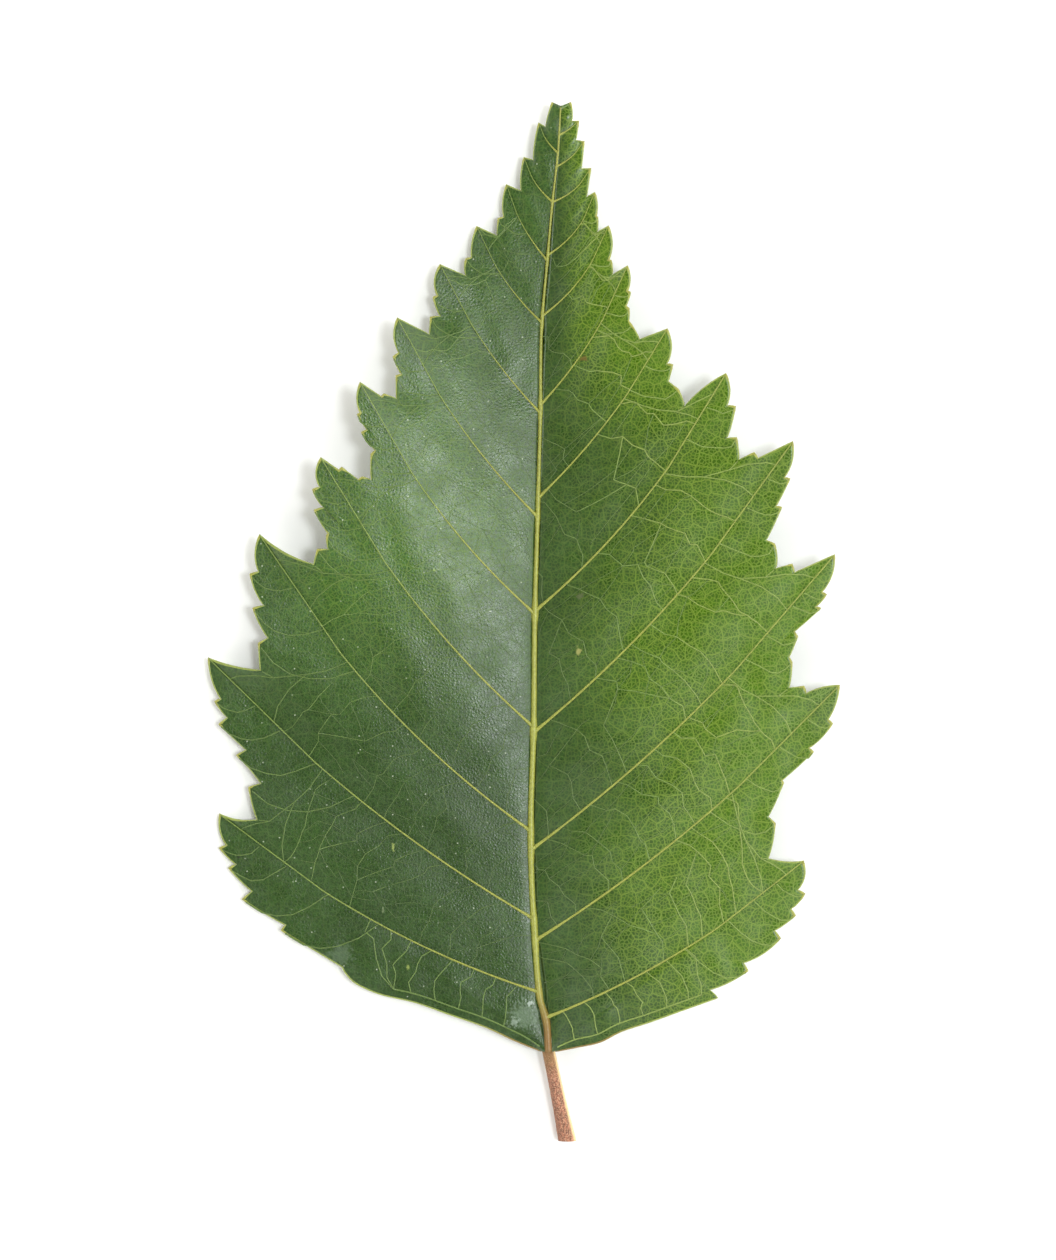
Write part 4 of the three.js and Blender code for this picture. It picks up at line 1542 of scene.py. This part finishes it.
    def add_loops(self, parts: MeshParts, panel: Panel) -> None:
        """Adds the stout loop behind a sinus.

        The loop leaves the vein above and runs out towards the sinus. A branch goes down to the vein below
        from its shoulder, another from its end, and a short one goes on to the sinus.

        Args:
            parts: Mesh that the veins are added to.
            panel: The panel that they lie on.
        """
        sinus = panel.margin[panel.sinus]
        core = (bezier(panel.above, panel.sizes.reach) + bezier(panel.below, panel.sizes.reach)) / 2
        look = self.look(panel)
        leave, meet_outer = bezier(panel.above, 0.62), bezier(panel.below, 0.93)
        meet = bezier(panel.below, look.loop_meet)
        down = meet - bezier(panel.above, 0.83)
        neck = lerp(sinus, core, 0.2)
        shoulder = lerp(leave, neck, 0.55) + look.loop_bow * down
        loop = (leave, lerp(leave, shoulder, 0.5) + 0.02 * down, shoulder, lerp(shoulder, neck, 0.6), neck)
        outward = (sinus - core) * 0.08
        branch = (shoulder, *(lerp(shoulder, meet, way) + outward for way in (0.35, 0.7)), meet)
        outer = (neck, *(lerp(neck, meet_outer, way) + outward for way in (0.3, 0.7)), meet_outer)
        for knots in (loop, branch, outer, (neck, lerp(neck, sinus, 0.85))):
            self.add_net(parts, bent_line(np.array([knots]), 6 * len(knots) - 5), 1.05, look.loop_clear)

    def add_inside(self, parts: MeshParts, panel: Panel, knots: Array, weight: float) -> None:
        """Adds ribs along bent paths in share and reach, for as much of them as lies on the blade.

        They are clearer and wider towards the margin.

        Args:
            parts: Mesh that the ribs are added to.
            panel: The panel that they lie on.
            knots: Shares and reaches by path, knot and coordinate.
            weight: Width and clearness compared with a rung's.
        """
        path = self.trim(bent_line(knots, 5 * knots.shape[1] - 4))
        if not len(path):
            return
        place = panel.place(np.clip(path[..., 0], 0, 1), path[..., 1])
        look = self.look(panel)
        clear = lerp(look.inner_clear, look.outer_clear, smoothstep(*look.clearing, path[..., 1])) * weight
        half = self.net_half_width * (0.6 + 0.6 * clear) * min(1.0, 0.4 + 0.6 * weight)
        crown = (self.net_crown + 0.2 * half) * look.crown_share
        self.add_ribs(parts, place, half, crown, tone=clear, brown=0.0)

    @staticmethod
    def trim(path: Array) -> Array:
        """Stretches of paths that lie between the midrib and the margin, each on as many points as before.

        Args:
            path: Shares and reaches by path, point and coordinate.

        Returns:
            The stretches, without the paths that lose more than two thirds.
        """
        inside = (path[..., 1] > 0.002) & (path[..., 1] < 0.987)
        kept = inside.mean(-1) > 0.34
        path, inside = path[kept], inside[kept]
        count = path.shape[1]
        first = np.argmax(inside, 1)[:, None]
        last = count - 1 - np.argmax(inside[:, ::-1], 1)[:, None]
        place = lerp(first, last, np.linspace(0, 1, count))
        low = np.minimum(place.astype(int), count - 2)
        row = np.arange(len(path))[:, None]
        return lerp(path[row, low], path[row, low + 1], (place - low)[..., None])

    def add_feeders(self, parts: MeshParts, panel: Panel, draw: np.random.Generator) -> None:
        """Adds the veins that leave the side vein above and curve up into the smaller teeth beside it.

        Each follows a curve from the vein, some way behind the tooth, out nearly square to the vein and then
        on to the tooth's tip, with a few small kinks.

        Args:
            parts: Mesh that the veins are added to.
            panel: The panel whose teeth they feed.
            draw: Source of the random kinks.
        """
        least = panel.shares[panel.sinus] + 0.04
        beyond = [place for place in panel.tip_places[:-1] if panel.shares[place] > least]
        if not beyond:
            return
        look = self.look(panel)
        tips = panel.margin[beyond]
        chord = panel.above[2] - panel.above[0]
        length = np.hypot(*chord)
        along = chord / length
        offset = tips - panel.above[0]
        away = offset[:, 0] * along[1] - offset[:, 1] * along[0]
        distance = np.abs(away)[:, None]
        behind = np.clip((offset @ along - look.feeder_lag * distance[:, 0]) / length, 0.2, 0.97)
        start = bezier(panel.above, behind)
        square = np.array([along[1], -along[0]]) * np.sign(away)[:, None]
        control = start + distance * (0.92 * square + 0.33 * look.feeder_lag * along)
        t = np.linspace(0, 0.96, 6)[None, :, None]
        knots = (1 - t) ** 2 * start[:, None] + 2 * t * (1 - t) * control[:, None] + t**2 * tips[:, None]
        kinks = draw.uniform(-0.09, 0.09, knots[:, 1:-1].shape)
        knots[:, 1:-1] += kinks * np.minimum(1, distance / 2)[..., None]
        self.add_net(parts, bent_line(knots, 26), 1.05, look.feeder_clear)


@dataclass
class MarginBead:
    """The thickened yellow-green edge of the blade, a slim round carried along the whole margin."""

    blade: Blade
    radius: float = 0.1
    inset: float = 0.4
    knob: float = 0.35
    height: float = 1.5
    knob_length: float = 0.35
    browns: tuple[float, float] = (2.6, 0.3)
    sides: int = 8

    def build(self, material: bpy.types.Material) -> bpy.types.Object:
        """Shapes the bead, warmer at the tips of the teeth and brown beside the stalk.

        Args:
            material: Finish of the bead.

        Returns:
            The piece.
        """
        parts = MeshParts()
        turn = np.linspace(0, 2 * math.pi, self.sides, endpoint=False)
        for side, panels in self.blade.sides.items():
            path, warm = self.course(panels)
            inward = sideways(path[:, :2]) * side.outward
            centre = path.copy()
            centre[:, :2] += inward * self.radius * self.inset
            ring = np.zeros((len(path), self.sides, 3))
            radius = self.radius * (1 + self.knob * warm)[:, None]
            ring[..., :2] = centre[:, None, :2] + inward[:, None] * (np.cos(turn) * radius)[..., None]
            ring[..., 2] = centre[:, None, 2] + np.sin(turn) * radius * self.height
            brown = np.maximum(0.85 * smoothstep(*self.browns, path[:, 1]), 0.12 * warm)[:, None]
            tone = lerp(0.8, 1.0, warm)[:, None]
            numbers = parts.add_points(ring, sun=self.blade.sun(ring), tone=tone, brown=brown)
            parts.add_grid(numbers, closed=True, flip=side.outward < 0)
            parts.add_faces(numbers[:1], flip=side.outward < 0)
            parts.add_faces(numbers[-1:], flip=side.outward > 0)
        return parts.build("margin_bead", self.blade, material, Slot.BLADE)

    def course(self, panels: list[Panel]) -> tuple[Array, Array]:
        """Margin of one side at its middle height, and how near each point is to the tip of a tooth.

        Args:
            panels: Panels of the side.

        Returns:
            Points of the margin, and nearness from 0 to 1.
        """
        places, nearness = [], []
        for panel in panels:
            first = 1 if panel.index else 0
            upper, lower = panel.heights(panel.shares, np.ones_like(panel.shares))
            away = span(panel.margin[:, None] - panel.margin[panel.tip_places][None]).min(1)
            places.append(np.column_stack([panel.margin, (upper + lower) / 2])[first:])
            nearness.append(np.exp(-((away / self.knob_length) ** 2))[first:])
        return np.concatenate(places), np.concatenate(nearness)


@dataclass
class Stalk:
    """The stalk: a tapering round, pitted, with short down and a cut end, painted lit on its right and shaded
    on its left.
    """

    blade: Blade
    finish: StalkFinish
    length: float = 6.7
    half_at_blade: float = 0.5
    half_at_cut: float = 0.7
    flatness: float = 0.92
    sway: float = 1.4
    dish: float = 0.12
    rings: int = 110
    sides: int = 64
    hairs: int = 900
    hair_girth: float = 0.014
    seed: int = 8

    def centre(self, share: Array) -> Array:
        """Centre line from the blade to the cut: straight in plan, sinking to the table.

        Args:
            share: Shares of the way, 0 at the blade and 1 at the cut.

        Returns:
            Places, with a last axis for x, y and z.
        """
        rib = self.blade.sizes.midrib
        at_blade = float(rib.sole_height(0.0)) + (rib.depth_at_foot + self.blade.sizes.thickness) / 2
        at_cut = self.half_at_cut * self.flatness
        return np.stack([self.sway * share, -self.length * share, lerp(at_blade, at_cut, share)], -1)

    def radius(self, share: Array, turn: Array) -> Array:
        """Half width, swelling to the cut by a power, with a fine uneven surface that stays inside it.

        Args:
            share: Shares of the way from the blade to the cut.
            turn: Turns about the centre line, from the right.

        Returns:
            Half widths in millimetres.
        """
        half = lerp(self.half_at_blade, self.half_at_cut, share**2.2)
        place = (share * self.length, turn * half)
        uneven = waves(*place, 0.55, 4) + waves(*place, 0.2, 9)
        return half * (0.965 + 0.012 * uneven)

    def build(self) -> bpy.types.Object:
        """Shapes the stalk: upright rings along its course, closed by a dished cut and a blunt inner end.

        Returns:
            The piece that stands for the solid stalk.
        """
        parts = MeshParts()
        turns = np.linspace(0, 2 * math.pi, self.sides, endpoint=False)
        share, turn = np.meshgrid(np.linspace(0, 1, self.rings), turns, indexing="ij")
        ring = self.around(share, turn, self.radius(share, turn))
        # The value ridge paints light and shade, not a ridge: 0.9 along the right side is a painted
        # highlight, -0.9 on the left painted shade.
        right = np.exp(-(((turn - 0.35 + math.pi) % (2 * math.pi) - math.pi) / 0.42) ** 2)
        shaded = smoothstep(-0.1, -0.8, np.cos(turn))
        values = {"ridge": 0.9 * right - 0.9 * shaded, "top": smoothstep(0.34, 0.0, share)}
        numbers = parts.add_points(ring, **values)
        parts.add_grid(numbers, closed=True)
        for row, dish in ((0, 0.0), (-1, self.dish)):
            end = share[row, 0]
            middle = self.centre(np.array([end]))
            middle[:, 1] += dish
            # The cut end takes 0.6 of ridge, part of the pale colour of the painted highlight.
            hub = parts.add_points(middle, ridge=0.6 * (row == -1), top=float(row == 0))
            rim = np.column_stack([numbers[row], np.roll(numbers[row], -1), np.full(self.sides, hub[0])])
            parts.add_faces(rim, flip=row == 0)
        stalk = parts.build("stalk_round", self.blade, self.finish.material(), Slot.STALK)
        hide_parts("leaf_stalk")
        return stalk

    def around(self, share: Array, turn: Array, radius: Array) -> Array:
        """Points about the centre line, flattened from above.

        Args:
            share: Shares of the way from the blade to the cut.
            turn: Turns about the centre line, from the right.
            radius: Distances from it.

        Returns:
            Places, with a last axis for x, y and z.
        """
        ring = self.centre(share)
        ring[..., 0] += np.cos(turn) * radius
        ring[..., 2] += np.sin(turn) * radius * self.flatness
        return ring

    def down(self, material: bpy.types.Material) -> bpy.types.Object:
        """Shapes the down: short slim three-sided hairs that stand out of the upper half and lean to the cut.

        Args:
            material: Finish of the down.

        Returns:
            The piece.
        """
        parts = MeshParts()
        draw = np.random.default_rng(self.seed)
        share = draw.uniform(0.03, 0.97, self.hairs)
        turn = draw.uniform(-0.35, math.pi + 0.35, self.hairs)
        half = self.radius(share, turn)
        root = self.around(share, turn, half - 0.03)
        reach = draw.uniform(0.05, 0.1, self.hairs)
        tip = self.around(share + draw.uniform(0.004, 0.016, self.hairs), turn, half + reach * 0.5)
        corner = 2 * math.pi * np.arange(3) / 3
        foot = root[:, None] + self.hair_girth * np.stack([np.cos(corner), np.sin(corner), 0 * corner], -1)
        # ridge 0.9 gives the down the pale colour of the painted highlight.
        feet = parts.add_points(foot, ridge=0.9, top=0.0)
        tips = parts.add_points(tip, ridge=0.9, top=0.0)
        ends = np.broadcast_to(tips[:, None], feet.shape)
        parts.add_faces(np.stack([feet, np.roll(feet, -1, 1), ends], -1))
        parts.add_faces(feet, flip=True)
        return parts.build("stalk_down", self.blade, material, Slot.STALK)


@dataclass(frozen=True)
class Lamp:
    """A round soft light aimed at the leaf, by its tilt off the vertical and its turn from the right."""

    tilt: float
    turn: float
    size: float
    power: float
    distance: float = 0.5
    colour: Colour = (0.93, 0.97, 1.0)

    def hang(self, name: str) -> bpy.types.Object:
        """Hangs the light.

        Args:
            name: Name of the light.

        Returns:
            The light.
        """
        tilt, turn = math.radians(self.tilt), math.radians(self.turn)
        lamp = bpy.data.lights.new(name, "AREA")
        lamp.shape = "DISK"
        lamp.size = self.size
        lamp.energy = self.power
        lamp.color = self.colour
        light = bpy.data.objects.new(name, lamp)
        bpy.context.scene.collection.objects.link(light)
        out = math.sin(tilt) * self.distance
        light.location = (out * math.cos(turn), out * math.sin(turn), math.cos(tilt) * self.distance)
        light.rotation_euler = (0.0, tilt, turn)
        return light


@dataclass(frozen=True)
class Studio:
    """White table, soft light from the right and a long lens straight above the leaf."""

    lens: float = 100.0
    sensor: float = 36.0
    view_height: float = 93.14
    centre: tuple[float, float] = (0.385, -0.557)
    leaf_height: float = 1.7
    table_half: float = 0.6
    table_whites: tuple[Colour, Colour] = ((0.9, 0.9, 0.89), (0.92, 0.92, 0.91))
    key: Lamp = Lamp(tilt=20.0, turn=-3.0, size=0.13, power=1.1)
    side: Lamp = Lamp(tilt=46.0, turn=6.0, size=0.3, power=0.45)
    light_low: float = 2.4
    light_overhead: float = 0.13
    light_band: tuple[float, float] = (0.45, 0.85)
    light_colour: Colour = (1.0, 0.985, 0.94)

    def table(self) -> bpy.types.Object:
        """Sets a plain white table under the leaf, with the leaf's lowest points on it.

        Returns:
            The table.
        """
        half = self.table_half
        mesh = bpy.data.meshes.new("table")
        corners = [(-half, -half, 0), (half, -half, 0), (half, half, 0), (-half, half, 0)]
        mesh.from_pydata(corners, [], [(0, 1, 2, 3)])
        sheet = Sheet("white_table")
        soft = sheet.cloud(sheet.millimetres(), 0.02, 0.0, 1.0)
        sheet.join(sheet.blend(soft, *self.table_whites), sheet.shader.inputs["Base Color"])
        sheet.shader.inputs["Roughness"].default_value = 0.9
        sheet.shader.inputs["Specular IOR Level"].default_value = 0.1
        mesh.materials.append(sheet.material)
        table = bpy.data.objects.new("table", mesh)
        bpy.context.scene.collection.objects.link(table)
        return table

    def sky(self) -> None:
        """Even white surroundings, dimmer straight above, where the camera is."""
        world = bpy.data.worlds.new("studio")
        world.use_nodes = True
        bpy.context.scene.world = world
        tree = world.node_tree
        back = next(node for node in tree.nodes if node.type == "BACKGROUND")
        place = tree.nodes.new("ShaderNodeTexCoord")
        split = tree.nodes.new("ShaderNodeSeparateXYZ")
        tree.links.new(place.outputs["Generated"], split.inputs[0])
        climb = tree.nodes.new("ShaderNodeMapRange")
        climb.interpolation_type = "SMOOTHSTEP"
        steps = (*self.light_band, self.light_low, self.light_overhead)
        for name, value in zip(("From Min", "From Max", "To Min", "To Max"), steps):
            climb.inputs[name].default_value = value
        tree.links.new(split.outputs["Z"], climb.inputs["Value"])
        tree.links.new(climb.outputs["Result"], back.inputs["Strength"])
        back.inputs["Color"].default_value = (*self.light_colour, 1.0)

    def camera(self) -> bpy.types.Object:
        """Sets up a camera that looks straight down, with the photo's frame at the height of the blade.

        Returns:
            The camera.
        """
        data = bpy.data.cameras.new("camera")
        data.lens, data.sensor_width = self.lens, self.sensor
        data.clip_start = 0.001
        camera = bpy.data.objects.new("camera", data)
        bpy.context.scene.collection.objects.link(camera)
        distance = self.view_height * self.lens / self.sensor
        camera.location = (self.centre[0] * MM, self.centre[1] * MM, (distance + self.leaf_height) * MM)
        bpy.context.scene.camera = camera
        return camera

    def build(self) -> None:
        """Sets up the table, the light and the camera."""
        bpy.context.scene.view_settings.view_transform = "Standard"
        self.table()
        self.sky()
        self.key.hang("key")
        self.side.hang("side")
        self.camera()


def main() -> None:
    """Builds the leaf and its studio, piece by piece."""
    logging.basicConfig(level=logging.INFO, format="%(name)s: %(message)s")
    blade = Blade(BladeSizes())
    green = BladeFinish()
    BladeSkin(blade, green).build()
    veins = VeinTree(blade, VeinFinish(green))
    midrib = veins.midrib()
    yellow = midrib.data.materials[0]
    veins.side_veins(yellow)
    veins.net(yellow)
    MarginBead(blade).build(yellow)
    stalk = Stalk(blade, StalkFinish())
    stalk_round = stalk.build()
    stalk.down(stalk_round.data.materials[0])
    Studio().build()


if __name__ == "__main__":
    main()
